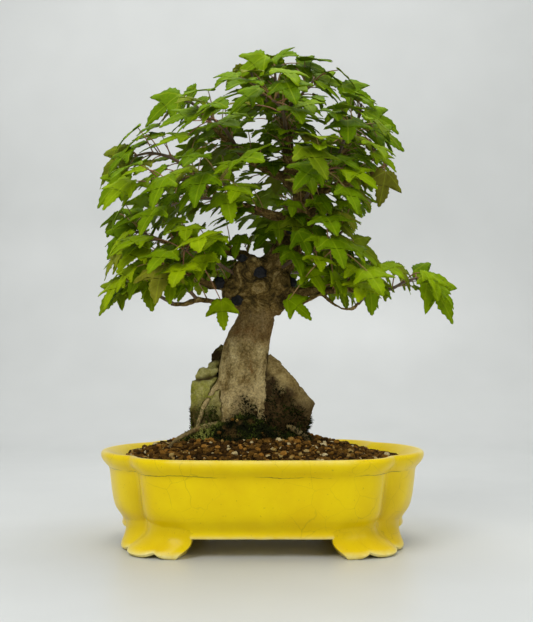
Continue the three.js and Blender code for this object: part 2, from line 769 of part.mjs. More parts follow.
// Shoots. stem: from inside the wood to the tip. lead: leaves placed to the real tree's
// outline, [base, tip]. count: further leaves set in pairs along the stem.
const SHOOTS = [
  {
    name: 'left_low',
    count: 4,
    stem: [[-80, -20, 217], [-96, -22, 226], [-108, -24, 235], [-121, -22, 238]],
    lead: [
      [[-124, -22, 237], [-153, -25, 211]],
      [[-103, -30, 243], [-99, -52, 213]],
    ],
  },
  {
    name: 'left_low_front',
    count: 4,
    stem: [[-60, -18, 222], [-70, -36, 234], [-80, -54, 246], [-88, -66, 250]],
    lead: [],
  },
  {
    name: 'left_stub',
    count: 4,
    stem: [[-78, -1, 262], [-92, -18, 260], [-104, -34, 257], [-112, -46, 254]],
    lead: [],
  },
  {
    name: 'left_mid',
    count: 3,
    stem: [[-102, 12, 281], [-114, 8, 286], [-124, 4, 287]],
    lead: [
      [[-124, -2, 290], [-149, -4, 264]],
      [[-112, 14, 303], [-148, 12, 292]],
    ],
  },
  {
    name: 'left_up',
    count: 4,
    stem: [[-68, -8, 343], [-85, -14, 353], [-103, -18, 356], [-117, -20, 353]],
    lead: [
      [[-122, -17, 360], [-153, -17, 333]],
      [[-122, -26, 336], [-154, -28, 309]],
    ],
  },
  {
    name: 'left_up_low',
    count: 4,
    stem: [[-55, -8, 329], [-66, -30, 330], [-80, -50, 324], [-90, -64, 316]],
    lead: [],
  },
  {
    name: 'upper_left',
    count: 3,
    stem: [[-56, 4, 399], [-68, 2, 408], [-80, 0, 408]],
    lead: [
      [[-76, -6, 413], [-112, -10, 388]],
      [[-62, 4, 421], [-84, 22, 404]],
    ],
  },
  {
    name: 'apex_left',
    count: 3,
    stem: [[21, 1, 391], [7, -9, 402], [-6, -13, 419], [-11, -15, 433]],
    lead: [
      [[3, -16, 446], [-26, -22, 427]],
    ],
  },
  {
    name: 'apex',
    count: 3,
    stem: [[17, 0, 399], [14, 2, 414], [12, 4, 430], [12, 4, 442]],
    lead: [
      [[10, 0, 448], [30, -22, 450]],
      [[32, 10, 447], [64, 12, 442]],
    ],
  },
  {
    name: 'apex_right',
    count: 3,
    stem: [[18, 0, 397], [30, 6, 409], [42, 10, 423], [50, 12, 432]],
    lead: [
      [[50, 16, 433], [84, 14, 428]],
    ],
  },
  {
    name: 'upper_right',
    count: 2,
    stem: [[88, 18, 390], [92, 14, 399], [93, 8, 408]],
    lead: [
      [[74, 4, 424], [108, -4, 406]],
      [[95, 0, 398], [130, -2, 384]],
    ],
  },
  {
    name: 'right_up',
    count: 3,
    stem: [[113, -16, 345], [110, -19, 357], [106, -22, 368]],
    lead: [
      [[98, -24, 376], [132, -24, 362]],
      [[112, -26, 338], [107, -28, 306]],
    ],
  },
  {
    name: 'right_mid',
    count: 2,
    stem: [[62, -17, 276], [70, -22, 281], [75, -26, 286]],
    lead: [
      [[60, -34, 298], [84, -40, 279]],
      [[82, -14, 276], [112, -8, 260]],
    ],
  },
  {
    name: 'right_low',
    count: 3,
    stem: [[104, -20, 228], [119, -22, 232], [130, -24, 238], [141, -26, 241]],
    lead: [
      [[148, -28, 240], [178, -31, 203]],
      [[138, -17, 247], [172, -14, 240]],
    ],
  },
  {
    name: 'right_low_up',
    count: 4,
    stem: [[86, -4, 246], [94, 10, 250], [100, 24, 252]],
    lead: [],
  },
  {
    name: 'right_low_down',
    count: 2,
    stem: [[86, -38, 217], [92, -44, 224], [97, -52, 230]],
    lead: [
      [[94, -52, 238], [98, -60, 207]],
    ],
  },
  {
    name: 'front_low_left',
    count: 4,
    stem: [[-26, -8, 246], [-44, -34, 256], [-58, -54, 262], [-68, -66, 262]],
    lead: [
      [[-37, -35, 221], [-35, -41, 194]],
    ],
  },
  {
    name: 'front_low_right',
    count: 4,
    stem: [[14, -6, 250], [34, -32, 260], [52, -50, 264], [64, -62, 264]],
    lead: [
      [[22, -42, 221], [45, -48, 205]],
    ],
  },
  {
    name: 'front_mid_left',
    count: 5,
    stem: [[-20, -6, 309], [-28, -34, 316], [-34, -62, 320], [-38, -82, 320]],
    lead: [],
  },
  {
    name: 'front_mid_right',
    count: 5,
    stem: [[38, -4, 312], [44, -36, 322], [50, -66, 328], [54, -84, 328]],
    lead: [],
  },
  {
    name: 'front_top_left',
    count: 4,
    stem: [[-22, 8, 363], [-32, -22, 374], [-40, -48, 378], [-46, -66, 376]],
    lead: [],
  },
  {
    name: 'front_top',
    count: 5,
    stem: [[23, 2, 374], [19, -32, 388], [13, -56, 392], [9, -72, 390]],
    lead: [],
  },
  {
    name: 'front_top_right',
    count: 4,
    stem: [[70, 16, 353], [74, -14, 366], [78, -40, 372], [80, -56, 370]],
    lead: [],
  },
  {
    name: 'back_low_left',
    count: 4,
    stem: [[-14, 10, 250], [-36, 46, 256], [-56, 74, 258], [-66, 88, 256]],
    lead: [],
  },
  {
    name: 'back_low_right',
    count: 4,
    stem: [[14, 12, 250], [38, 46, 252], [60, 72, 252], [72, 86, 250]],
    lead: [],
  },
  {
    name: 'back_mid',
    count: 4,
    stem: [[39, 4, 312], [30, 44, 322], [24, 76, 326], [20, 94, 324]],
    lead: [],
  },
  {
    name: 'back_mid_left',
    count: 5,
    stem: [[-36, -6, 316], [-60, 30, 322], [-80, 58, 324], [-92, 74, 322]],
    lead: [],
  },
  {
    name: 'back_mid_right',
    count: 5,
    stem: [[60, -11, 323], [84, 28, 328], [100, 54, 328], [108, 68, 324]],
    lead: [],
  },
  {
    name: 'back_top_left',
    count: 4,
    stem: [[-14, 8, 356], [-28, 42, 374], [-40, 66, 380], [-46, 80, 378]],
    lead: [],
  },
  {
    name: 'back_top',
    count: 4,
    stem: [[22, 2, 383], [18, 34, 402], [14, 56, 408], [10, 70, 406]],
    lead: [],
  },
  {
    name: 'back_top_right',
    count: 4,
    stem: [[62, 14, 345], [64, 46, 366], [68, 70, 374], [70, 84, 372]],
    lead: [],
  },
];
const STEM_RADIUS = [1.7, 1];
const PROBE_SPACING = 5;
const PETIOLE_LENGTH = 20; // its random part is up to half of this either way
const HANG = 0.5; // slope of a blade half way up the canopy, in radians
const HANG_BY_HEIGHT = 0.32; // leaves at the top lie flatter, the low ones hang
const HANG_SPREAD = 0.7;
const LEAF_SEED = 34;

// Probe points along a line of points: [point, radius].
function probesAlong(points, radius) {
  const probes = [];
  for (let i = 0; i + 1 < points.length; i += 1) {
    const [a, b] = [vec(...points[i]), vec(...points[i + 1])];
    const steps = Math.ceil(a.distanceTo(b) / PROBE_SPACING);
    for (let j = 0; j < steps; j += 1) {
      probes.push({ point: a.clone().lerp(b, j / steps), radius });
    }
  }
  probes.push({ point: vec(...points.at(-1)), radius });
  return probes;
}

function woodProbes() {
  const probes = [];
  for (const { from, to, points } of LIMBS) {
    const line = probesAlong(points, 0);
    line.forEach((probe, i) => {
      probes.push({ point: probe.point, radius: from + ((to - from) * i) / line.length });
    });
  }
  for (const [x, y, z, radiusX] of CALLUS) probes.push({ point: vec(x, y, z), radius: radiusX });
  for (const [z, x, halfX] of TRUNK_SECTIONS) probes.push({ point: vec(x, 0, z), radius: halfX });
  return probes;
}

const leafProbes = (leaf) => LEAF_PROBES.map(([x, y]) => leafPoint(leaf, x, y, 0));

function stemPoint(stem, share) {
  const turn = share * (stem.length - 1);
  const i = Math.min(stem.length - 2, Math.floor(turn));
  const [a, b] = [vec(...stem[i]), vec(...stem[i + 1])];
  return { point: a.clone().lerp(b, turn - i), along: b.sub(a).normalize() };
}

// One try at a leaf: the blade hangs away from the middle of the canopy and faces the light.
function tryLeaf(stem, share, turn, random, further) {
  const draws = Array.from({ length: 8 }, () => random() - 0.5);
  const { point, along } = stemPoint(stem, share);
  const side = along.clone().cross(UP).normalize();
  const rise = side.clone().cross(along);
  const out = point.clone().sub(vec(...CANOPY_CENTRE)).normalize();
  const stalk = side
    .clone()
    .multiplyScalar(Math.cos(turn))
    .addScaledVector(rise, Math.sin(turn))
    .addScaledVector(along, 0.55)
    .addScaledVector(out, 0.35)
    .add(vec(draws[0], draws[1], 0.35 + draws[2] * 0.8))
    .normalize();
  const reach = PETIOLE_LENGTH * (1 + draws[3]) + further;
  const base = point.clone().addScaledVector(stalk, reach);
  const away = base.clone().sub(vec(...CANOPY_CENTRE)).normalize();
  const droop = HANG - HANG_BY_HEIGHT * away.z + HANG_SPREAD * draws[4];
  const level = vec(away.x, away.y, 0)
    .addScaledVector(stalk, 0.6)
    .add(vec(draws[5] * 1.4, draws[6] * 1.4, 0))
    .setZ(0)
    .normalize();
  const direction = level.multiplyScalar(Math.cos(droop)).addScaledVector(UP, -Math.sin(droop));
  const light = base.y < LIGHT_LIMIT ? LIGHT_LEAN : 0;
  const normal = vec(away.x * 0.5, away.y * 0.5 - light, 1).addScaledVector(side, draws[7] * 0.6);
  normal.addScaledVector(direction, -normal.dot(direction)).normalize();
  const length = LEAF_MIN + (LEAF_MAX - LEAF_MIN) * (draws[2] + draws[5] + 1) * 0.5;
  return { root: point, base, along: direction, normal, length };
}

function leadLeaf(stem, [base, tip]) {
  const [from, to] = [vec(...base), vec(...tip)];
  const along = to.clone().sub(from).normalize();
  const away = from.clone().sub(vec(...CANOPY_CENTRE)).normalize();
  const normal = vec(away.x * 0.25, -0.85, 0.7);
  normal.addScaledVector(along, -normal.dot(along)).normalize();
  const root = vec(...stem.at(-1)).lerp(vec(...stem.at(-2)), 0.12);
  return { root, base: from, along, normal, length: from.distanceTo(to) };
}

// A column's value at a key, from the rows on both sides of it, or NaN beyond the table.
function between(table, key, column) {
  const i = table.findIndex(([start]) => start > key);
  if (i < 1) return NaN;
  const [before, after] = table.slice(i - 1, i + 1);
  const share = (key - before[0]) / (after[0] - before[0]);
  return before[column] + (after[column] - before[column]) * share;
}

// Whether a point, seen from the eye, lies outside the canopy's outline or over the crown.
function outside(point) {
  const scale = EYE[1] / (EYE[1] - point.y);
  const x = EYE[0] + (point.x - EYE[0]) * scale;
  const z = EYE[2] + (point.z - EYE[2]) * scale;
  const [left, right, top] = CROWN_WINDOW;
  if (point.y < 0 && x > left && x < right && z < top) return true;
  const inside =
    x >= between(CANOPY_OUTLINE, z, 1) &&
    x <= between(CANOPY_OUTLINE, z, 2) &&
    z >= between(CANOPY_HEM, x, 1);
  return !inside;
}

const tooNear = (points, probes, clearance) =>
  points.some((p) => probes.some((q) => p.distanceTo(q.point) < q.radius + clearance));

// Places every leaf of every shoot, keeping blades clear of wood, stems and one another.
function growLeaves() {
  const hard = woodProbes();
  SHOOTS.forEach(({ stem }) => hard.push(...probesAlong(stem.slice(1), 1.5)));
  const blades = [];
  const placed = SHOOTS.map(({ stem, lead }) => lead.map((ends) => leadLeaf(stem, ends)));
  const stalks = [];
  const keep = (leaf) => {
    leafProbes(leaf).forEach((point) => blades.push({ point, radius: 0 }));
    const line = probesAlong([leaf.root.toArray(), leaf.base.toArray()], PETIOLE_RADIUS[0]);
    stalks.push(...line.slice(1, -1));
  };
  placed.flat().forEach(keep);
  SHOOTS.forEach(({ stem, count }, number) => {
    const random = randomFrom(LEAF_SEED * 1000 + number);
    for (let i = 0; i < count; i += 1) {
      const share = i === count - 1 ? 0.98 : 0.97 - 0.13 * Math.floor(i / 2) - 0.03 * (i % 2);
      const turn = Math.PI * (i % 2) + (Math.PI / 2) * (Math.floor(i / 2) % 2) * 0.6;
      for (let attempt = 0; attempt < LEAF_TRIES; attempt += 1) {
        const leaf = tryLeaf(stem, share, turn, random, attempt / 4);
        const points = leafProbes(leaf);
        const line = probesAlong([leaf.root.toArray(), leaf.base.toArray()], 0);
        const stalk = line.slice(2).map((probe) => probe.point);
        if (points.some(outside)) continue;
        if (tooNear(points, hard, WOOD_CLEARANCE)) continue;
        if (tooNear(points, blades, LEAF_CLEARANCE)) continue;
        if (tooNear(points, stalks, WOOD_CLEARANCE)) continue;
        if (tooNear(stalk, blades, WOOD_CLEARANCE + 1)) continue;
        placed[number].push(leaf);
        keep(leaf);
        break;
      }
    }
  });
  return placed;
}

// The petiole ends in the middle of the blade's thickness, a little inside its base edge.
function petiole(leaf) {
  const [x, y] = LEAF_EDGE[0];
  const edge = leafPoint(leaf, x, y, 0).lerp(leafPoint(leaf, -x, y, 0), 0.5);
  const end = edge.lerp(leafPoint(leaf, ...LEAF_HEART, 0), PETIOLE_REACH);
  return limb([leaf.root.toArray(), end.toArray()], ...PETIOLE_RADIUS, 3, 1);
}

function shoot(stem, leaves) {
  const twig = limb(stem, ...STEM_RADIUS, 4, stem.length - 1);
  const pieces = leaves.flatMap((leaf) => [petiole(leaf), blade(leaf)]);
  return fuse([twig, ...pieces]);
}

// ---- assembly ----

const bonsai = new THREE.Group();

function addPiece(name, whole, color, roughness) {
  const material = new THREE.MeshStandardMaterial({ color, roughness, metalness: 0 });
  const body = largest(solid(toGeometry(largest(whole))));
  const mesh = new THREE.Mesh(toGeometry(body), material);
  mesh.name = name;
  bonsai.add(mesh);
  return mesh;
}

const woodGrown = wood(GAP);
const rockGrown = rock(GAP);

addPiece('pot', pot(), 0xe0c400, 0.22);
addPiece('drain_screen_left', drainScreen(-DRAIN_OFFSET), 0x222222, 0.6);
addPiece('drain_screen_right', drainScreen(DRAIN_OFFSET), 0x222222, 0.6);
const pockets = fuse([-1, 1].map((side) => drainScreen(side * DRAIN_OFFSET, GAP)));
const soilCut = soil().subtract(woodGrown).subtract(rockGrown).subtract(moss(GAP));
addPiece('soil', soilCut.subtract(pockets), 0x6b4a2c, 0.95);
const trunk = addPiece('trunk', wood(0), 0x8a7357, 0.9);
addPiece('rock', rock(0).subtract(woodGrown), 0xa89868, 0.95);
addPiece('moss', moss().subtract(woodGrown).subtract(rockGrown), 0x33451c, 1);
SEALS.forEach((seal, i) => {
  addPiece(`wound_seal_${i + 1}`, woundSeal(seal, trunk).subtract(woodGrown), 0x16161c, 0.7);
});
const leavesOf = growLeaves();
SHOOTS.forEach(({ name, stem }, i) => {
  const whole = shoot(stem, leavesOf[i]).subtract(woodGrown);
  addPiece(`shoot_${name}`, whole, 0x6f9a1e, 0.5);
});

const bounds = new THREE.Box3().setFromObject(bonsai);
const middle = bounds.getCenter(vec(0, 0, 0));
bonsai.position.set(-middle.x, -middle.y, -bounds.min.z);

export default bonsai;
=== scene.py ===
"""A three-lobed maple bonsai grown over a rock, in a lobed yellow pot on four cloud feet.

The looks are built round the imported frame. Sizes are in millimetres round the pot's centre at
ground level, as in the part's own layout, and make_object() turns them into the frame's metres.
"""
import math

import bmesh
import bpy
import numpy as np
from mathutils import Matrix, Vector, noise
from mathutils.bvhtree import BVHTree
from mathutils.kdtree import KDTree


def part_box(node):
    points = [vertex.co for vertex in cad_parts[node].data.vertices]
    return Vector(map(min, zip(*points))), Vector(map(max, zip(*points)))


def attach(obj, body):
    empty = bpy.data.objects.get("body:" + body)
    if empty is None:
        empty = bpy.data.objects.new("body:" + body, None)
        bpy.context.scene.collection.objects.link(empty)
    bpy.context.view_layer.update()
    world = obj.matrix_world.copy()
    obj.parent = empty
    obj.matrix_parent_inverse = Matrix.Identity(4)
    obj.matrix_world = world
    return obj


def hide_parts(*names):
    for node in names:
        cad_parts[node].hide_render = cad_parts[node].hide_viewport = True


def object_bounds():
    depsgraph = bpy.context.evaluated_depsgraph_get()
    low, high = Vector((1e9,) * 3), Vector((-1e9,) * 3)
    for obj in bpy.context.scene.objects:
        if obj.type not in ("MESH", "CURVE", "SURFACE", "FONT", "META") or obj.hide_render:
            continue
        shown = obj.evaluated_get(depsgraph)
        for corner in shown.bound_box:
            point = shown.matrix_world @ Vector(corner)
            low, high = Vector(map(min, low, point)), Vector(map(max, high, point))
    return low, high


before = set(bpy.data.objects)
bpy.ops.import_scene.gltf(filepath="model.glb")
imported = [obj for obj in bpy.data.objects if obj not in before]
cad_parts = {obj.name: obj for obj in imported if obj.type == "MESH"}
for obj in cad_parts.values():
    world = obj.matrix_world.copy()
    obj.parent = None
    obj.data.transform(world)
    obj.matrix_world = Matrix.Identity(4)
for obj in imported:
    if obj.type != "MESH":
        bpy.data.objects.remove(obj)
CAD_BOUNDS = [list(corner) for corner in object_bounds()]
POT_LOW, POT_HIGH = (np.array(corner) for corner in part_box("pot"))
# The frame's origin is the middle of the whole model's base; the layout's is the pot's centre.
POT_CENTRE = np.array([*((POT_LOW + POT_HIGH) / 2)[:2] * 1000, 0.0])
CAD_LOW, CAD_HIGH = (np.array(corner) * 1000 - POT_CENTRE for corner in CAD_BOUNDS)

# ---- driving dimensions, as in the solids ----
POT_HALF_LENGTH = 150
POT_HALF_DEPTH = 118
CREASE_ANGLE = math.radians(5 * 360 / 54)
CREASE_SPREAD = math.radians(2 * 360 / 54)
END_LOBE_RADIUS = 106
LONG_LOBE_POWER = 4
CREASE_DEPTH = 3
BRACE_POINT = 1.5
BRACE_HALF = 12
FLOOR_TOP = 28
DRAIN_RADIUS = 10
DRAIN_OFFSET = 62
WALL_INSET = 20.5

UP = np.array([0.0, 0.0, 1.0])


def random_from(seed):
    """Repeatable random numbers from 0 to 1: a linear congruential generator on 32 bits."""
    state = [seed & 0xFFFFFFFF]

    def draw():
        state[0] = (state[0] * 1664525 + 1013904223) & 0xFFFFFFFF
        return state[0] / 4294967296

    return draw


def unit(v):
    """A vector scaled to length 1; one without length stays as it is."""
    return v / (np.linalg.norm(v) or 1.0)


def vector(p):
    return np.array(p, dtype=float)


def polar(radius, angle):
    return radius * math.cos(angle), radius * math.sin(angle)


def clamp(value):
    return min(1.0, max(0.0, value))


def rise(value, start, end):
    """How far a value has come from start to end, from 0 to 1; the end may be the lower one."""
    return clamp((value - start) / (end - start))


def near(value, middle, reach):
    """1 in the middle, falling evenly to 0 at the reach on both sides of it."""
    return max(0.0, 1 - abs(value - middle) / reach)


# ---- meshes ----

def linked(name, data):
    """A new object of the scene with the given data."""
    obj = bpy.data.objects.new(name, data)
    bpy.context.collection.objects.link(obj)
    return obj


def shade_smooth(obj, smooth=True):
    obj.data.polygons.foreach_set("use_smooth", [smooth] * len(obj.data.polygons))


def make_object(name, points, faces, smooth=True):
    """A mesh object from points in layout millimetres."""
    mesh = bpy.data.meshes.new(name)
    places = (np.asarray(points, dtype=float) + POT_CENTRE) / 1000
    mesh.from_pydata(places.tolist(), [], faces)
    mesh.validate()
    obj = linked(name, mesh)
    shade_smooth(obj, smooth)
    return obj


def paint(obj, name, values):
    """Stores one colour for each point, for the materials to read."""
    values = np.asarray(values, dtype=np.float32)
    if values.ndim == 1:
        values = np.stack([values, values, values, np.ones(len(values))], axis=1)
    layer = obj.data.color_attributes.new(name, "FLOAT_COLOR", "POINT")
    layer.data.foreach_set("color", values.astype(np.float32).ravel())


def painted_object(name, points, faces, layer, values, smooth=True):
    obj = make_object(name, points, faces, smooth)
    paint(obj, layer, values)
    return obj


def dress(obj, material):
    obj.data.materials.clear()
    obj.data.materials.append(material)


def finish_piece(obj, material, nodes=()):
    dress(obj, material)
    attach(obj, "root")
    if nodes:
        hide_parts(*nodes)
    return obj


def corner_values(mesh, kind):
    """The place ("co") or the normal of each corner of a mesh."""
    flat = np.empty(len(mesh.vertices) * 3)
    mesh.vertices.foreach_get(kind, flat)
    return flat.reshape(-1, 3)


def layout_points(mesh):
    """A mesh's corners in layout millimetres."""
    return corner_values(mesh, "co") * 1000 - POT_CENTRE


def applied(obj):
    """Applies every modifier of an object to its mesh."""
    graph = bpy.context.evaluated_depsgraph_get()
    mesh = bpy.data.meshes.new_from_object(obj.evaluated_get(graph))
    obj.modifiers.clear()
    old = obj.data
    obj.data = mesh
    bpy.data.meshes.remove(old)


def refined(name, node, voxel, smoothing):
    """A CAD node's shape with a fine, even skin: voxels in millimetres, then rounds of smoothing."""
    obj = linked(name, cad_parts[node].data.copy())
    remesh = obj.modifiers.new("skin", "REMESH")
    remesh.mode = "VOXEL"
    remesh.voxel_size = voxel / 1000
    smooth = obj.modifiers.new("smooth", "SMOOTH")
    smooth.factor = 0.5
    smooth.iterations = smoothing
    applied(obj)
    shade_smooth(obj)
    return obj


def displaced(obj, depth_at):
    """Moves each corner along its normal by depth_at(point), in millimetres."""
    mesh = obj.data
    points = layout_points(mesh)
    depths = np.array([depth_at(p) for p in points])
    points = points + corner_values(mesh, "normal") * depths[:, None]
    mesh.vertices.foreach_set("co", ((points + POT_CENTRE) / 1000).ravel())
    mesh.update()
    return obj


def fractal(p, size, octaves=3):
    """Smooth noise from about -1 to 1, with its largest lumps about size millimetres wide."""
    return noise.fractal(Vector(p) / size, 1.0, 2.0, octaves)


def ring_pairs(sides):
    """Each place on a ring with the next one."""
    return [(j, (j + 1) % sides) for j in range(sides)]


def ring_angles(sides):
    return [2 * math.pi * j / sides for j in range(sides)]


def ring_faces(rings, sides, closed_ends=True):
    """Faces between rings of points that follow one another, and over the two end rings."""
    last = (rings - 1) * sides
    faces = [[a + j, a + k, a + sides + k, a + sides + j]
             for a in range(0, last, sides) for j, k in ring_pairs(sides)]
    if closed_ends:
        faces += [list(range(sides))[::-1], list(range(last, last + sides))]
    return faces


def smooth_path(points, per_span):
    """Points along a Catmull-Rom curve through the given ones."""
    points = [vector(p) for p in points]
    padded = [2 * points[0] - points[1], *points, 2 * points[-1] - points[-2]]
    path = []
    for i in range(len(points) - 1):
        a, b, c, d = padded[i:i + 4]
        for step in range(per_span):
            t = step / per_span
            path.append(0.5 * (2 * b + (c - a) * t + (2 * a - 5 * b + 4 * c - d) * t ** 2
                               + (3 * b - a - 3 * c + d) * t ** 3))
    return np.array([*path, points[-1]])


def tube(path, radii, sides):
    """A round tube along a path, as points and faces."""
    directions = np.gradient(path, axis=0)
    directions /= np.linalg.norm(directions, axis=1)[:, None]
    helper = UP if abs(directions[0][2]) < 0.9 else np.array([1.0, 0, 0])
    side = unit(np.cross(directions[0], helper))
    points = []
    for centre, direction, radius in zip(path, directions, radii):
        side = unit(side - direction * side.dot(direction))
        other = np.cross(direction, side)
        points.extend(centre + radius * (math.cos(angle) * side + math.sin(angle) * other)
                      for angle in ring_angles(sides))
    return points, ring_faces(len(path), sides)


class Batch:
    """Collects many small closed forms into one mesh, with a colour for each point."""

    def __init__(self):
        self.points = []
        self.faces = []
        self.colours = []

    def add(self, points, faces, *colours):
        """Adds one form; each of its colours goes to an equal part of its points."""
        first = len(self.points)
        self.points.extend(points)
        self.faces.extend([first + k for k in face] for face in faces)
        for colour in colours:
            self.colours.extend([colour] * (len(points) // len(colours)))

    def build(self, name, layer, smooth=True):
        return painted_object(name, self.points, self.faces, layer, self.colours, smooth)


# ---- material nodes ----

class Look:
    """A Principled material, with short names for the nodes that colour it."""

    def __init__(self, name, **constants):
        self.material = bpy.data.materials.new(name)
        self.material.use_nodes = True
        self.tree = self.material.node_tree
        self.sockets = self.tree.nodes["Principled BSDF"].inputs
        for key, value in constants.items():
            self.sockets[key.replace("_", " ")].default_value = value

    def fill(self, socket, value):
        """Links a node's output to a socket, or sets the socket's own value."""
        if isinstance(value, bpy.types.NodeSocket):
            self.tree.links.new(value, socket)
        else:
            socket.default_value = (*value, 1) if socket.type == "RGBA" else value

    def node(self, kind, inputs, output=0, **settings):
        made = self.tree.nodes.new("ShaderNode" + kind)
        for key, value in settings.items():
            setattr(made, key, value)
        for key, value in inputs.items():
            self.fill(made.inputs[key], value)
        return made.outputs[output]

    def math(self, operation, *values):
        return self.node("Math", dict(enumerate(values)), operation=operation)

    def times(self, *values):
        return self.math("MULTIPLY", *values)

    def apart(self, first, second):
        return self.math("ABSOLUTE", self.math("SUBTRACT", first, second))

    def place(self):
        return self.node("TexCoord", {}, "Object")

    def axis(self, letter):
        return self.node("SeparateXYZ", {0: self.place()}, letter)

    def noise(self, scale, detail=4, rough=0.6, stretch=None, swirl=0.0):
        where = self.place()
        if stretch:
            where = self.node("Mapping", {"Vector": where, "Scale": stretch})
        return self.node("TexNoise", {"Vector": where, "Scale": scale, "Detail": detail,
                                      "Roughness": rough, "Distortion": swirl})

    def drift(self, scale, reach):
        """A vector that wanders by about reach metres."""
        inputs = {"Vector": self.place(), "Scale": scale, "Detail": 3}
        colour = self.node("TexNoise", inputs, "Color")
        centred = self.node("VectorMath", {0: colour, 1: (0.5, 0.5, 0.5)}, operation="SUBTRACT")
        return self.node("VectorMath", {0: centred, "Scale": reach}, operation="SCALE")

    def wavy(self, value, reach, *noise):
        """A value with noise of the given reach added to it."""
        return self.math("MULTIPLY_ADD", self.noise(*noise), reach, value)

    def ramp(self, factor, *stops):
        """A colour ramp: stops are (position, (r, g, b)) or (position, grey)."""
        made = self.tree.nodes.new("ShaderNodeValToRGB")
        elements = made.color_ramp.elements
        while len(elements) < len(stops):
            elements.new(0.5)
        for element, (position, colour) in zip(elements, stops):
            element.position = position
            element.color = (*colour, 1) if isinstance(colour, tuple) else (colour, colour, colour, 1)
        self.tree.links.new(factor, made.inputs[0])
        return made.outputs[0]

    def fade(self, value, start, end, low=0.0, high=1.0, kind="LINEAR"):
        inputs = {"Value": value, "From Min": start, "From Max": end, "To Min": low, "To Max": high}
        return self.node("MapRange", inputs, interpolation_type=kind)

    def ease(self, value, start, end):
        return self.fade(value, start, end, kind="SMOOTHSTEP")

    def mix(self, factor, first, second, blend="MIX"):
        made = self.tree.nodes.new("ShaderNodeMix")
        made.data_type = "RGBA"
        made.blend_type = blend
        for index, value in ((0, factor), (6, first), (7, second)):
            self.fill(made.inputs[index], value)
        return made.outputs[2]

    def shade(self, colour, grey):
        return self.mix(1.0, colour, grey, "MULTIPLY")

    def layer(self, name, output="Color"):
        return self.node("VertexColor", {}, output, layer_name=name)

    def channels(self, name):
        """A colour layer's channels, one socket for each."""
        return self.node("SeparateColor", {0: self.layer(name)}).node.outputs

    def finish(self, colour, relief=None, strength=0.0, height=0.0):
        """Links colour and relief, whose height is in millimetres, and gives the material."""
        self.tree.links.new(colour, self.sockets["Base Color"])
        if relief is not None:
            inputs = {"Height": relief, "Strength": strength, "Distance": height / 1000}
            self.tree.links.new(self.node("Bump", inputs), self.sockets["Normal"])
        return self.material


def glaze_material():
    look = Look("yellow_glaze", Roughness=0.28, Specular_IOR_Level=0.13, Coat_Weight=0.04,
                Coat_Roughness=0.15)
    pale, below_lip, painted_shade = look.channels("marks")[:3]
    deeper = look.ramp(look.noise(26), (0.35, 0.0), (0.7, 1.0))
    body = look.mix(deeper, (0.88, 0.66, 0.0), (0.80, 0.56, 0.0))
    # Painted shade: the glaze is darker in the creases, above the feet and up the feet.
    body = look.mix(look.times(painted_shade, 0.7), body, (0.52, 0.35, 0.0))
    specks = look.ramp(look.noise(420, 2), (0.27, 1.0), (0.31, 0.0))
    body = look.mix(look.times(specks, 0.4), body, (0.32, 0.22, 0.01))
    wobble = look.node("VectorMath", {0: look.place(), 1: look.drift(40, 0.012)}, operation="ADD")
    cells = look.node("TexVoronoi", {"Vector": wobble, "Scale": 42}, feature="DISTANCE_TO_EDGE")
    patchy = look.ramp(look.noise(14), (0.45, 0.0), (0.62, 1.0))
    crazing = look.times(look.ramp(cells, (0.0, 1.0), (0.012, 0.0)), patchy)
    body = look.mix(look.times(crazing, 0.4), body, (0.36, 0.25, 0.01))
    # Pale edges, and on the lip partly a painted highlight along the top edge.
    breakup = look.ramp(look.noise(130, 5), (0.3, 0.35), (0.6, 1.0))
    body = look.mix(look.times(pale, breakup), body, (0.90, 0.79, 0.30))
    height = look.wavy(look.axis("Z"), CRACK_WANDER / 1000, 24, 5, 0.65)
    off = look.apart(height, (CRACK_HEIGHT + CRACK_WANDER / 2) / 1000)
    hairline = look.fade(off, 0.0001, 0.00045, 1.0, 0.0)
    stretches = look.ramp(look.noise(18), (0.46, 0.0), (0.54, 1.0))
    crack = look.times(look.times(below_lip, hairline), stretches)
    body = look.mix(look.times(crack, 0.8), body, (0.16, 0.11, 0.01))
    return look.finish(body, look.noise(45, 2), 0.25, 0.5)


def grain_material():
    look = Look("soil_grain", Roughness=0.92, Specular_IOR_Level=0.08)
    base = look.ramp(
        look.channels("grain")[0],
        (0.0, (0.020, 0.010, 0.002)), (0.25, (0.060, 0.028, 0.005)), (0.55, (0.125, 0.060, 0.010)),
        (0.78, (0.20, 0.10, 0.016)), (0.87, (0.36, 0.16, 0.024)), (0.945, (0.40, 0.27, 0.08)),
        (1.0, (0.72, 0.60, 0.33)))
    grit = look.ramp(look.noise(900, 3), (0.3, 0.5), (0.7, 1.12))
    return look.finish(look.shade(base, grit), look.noise(700), 0.6, 0.4)


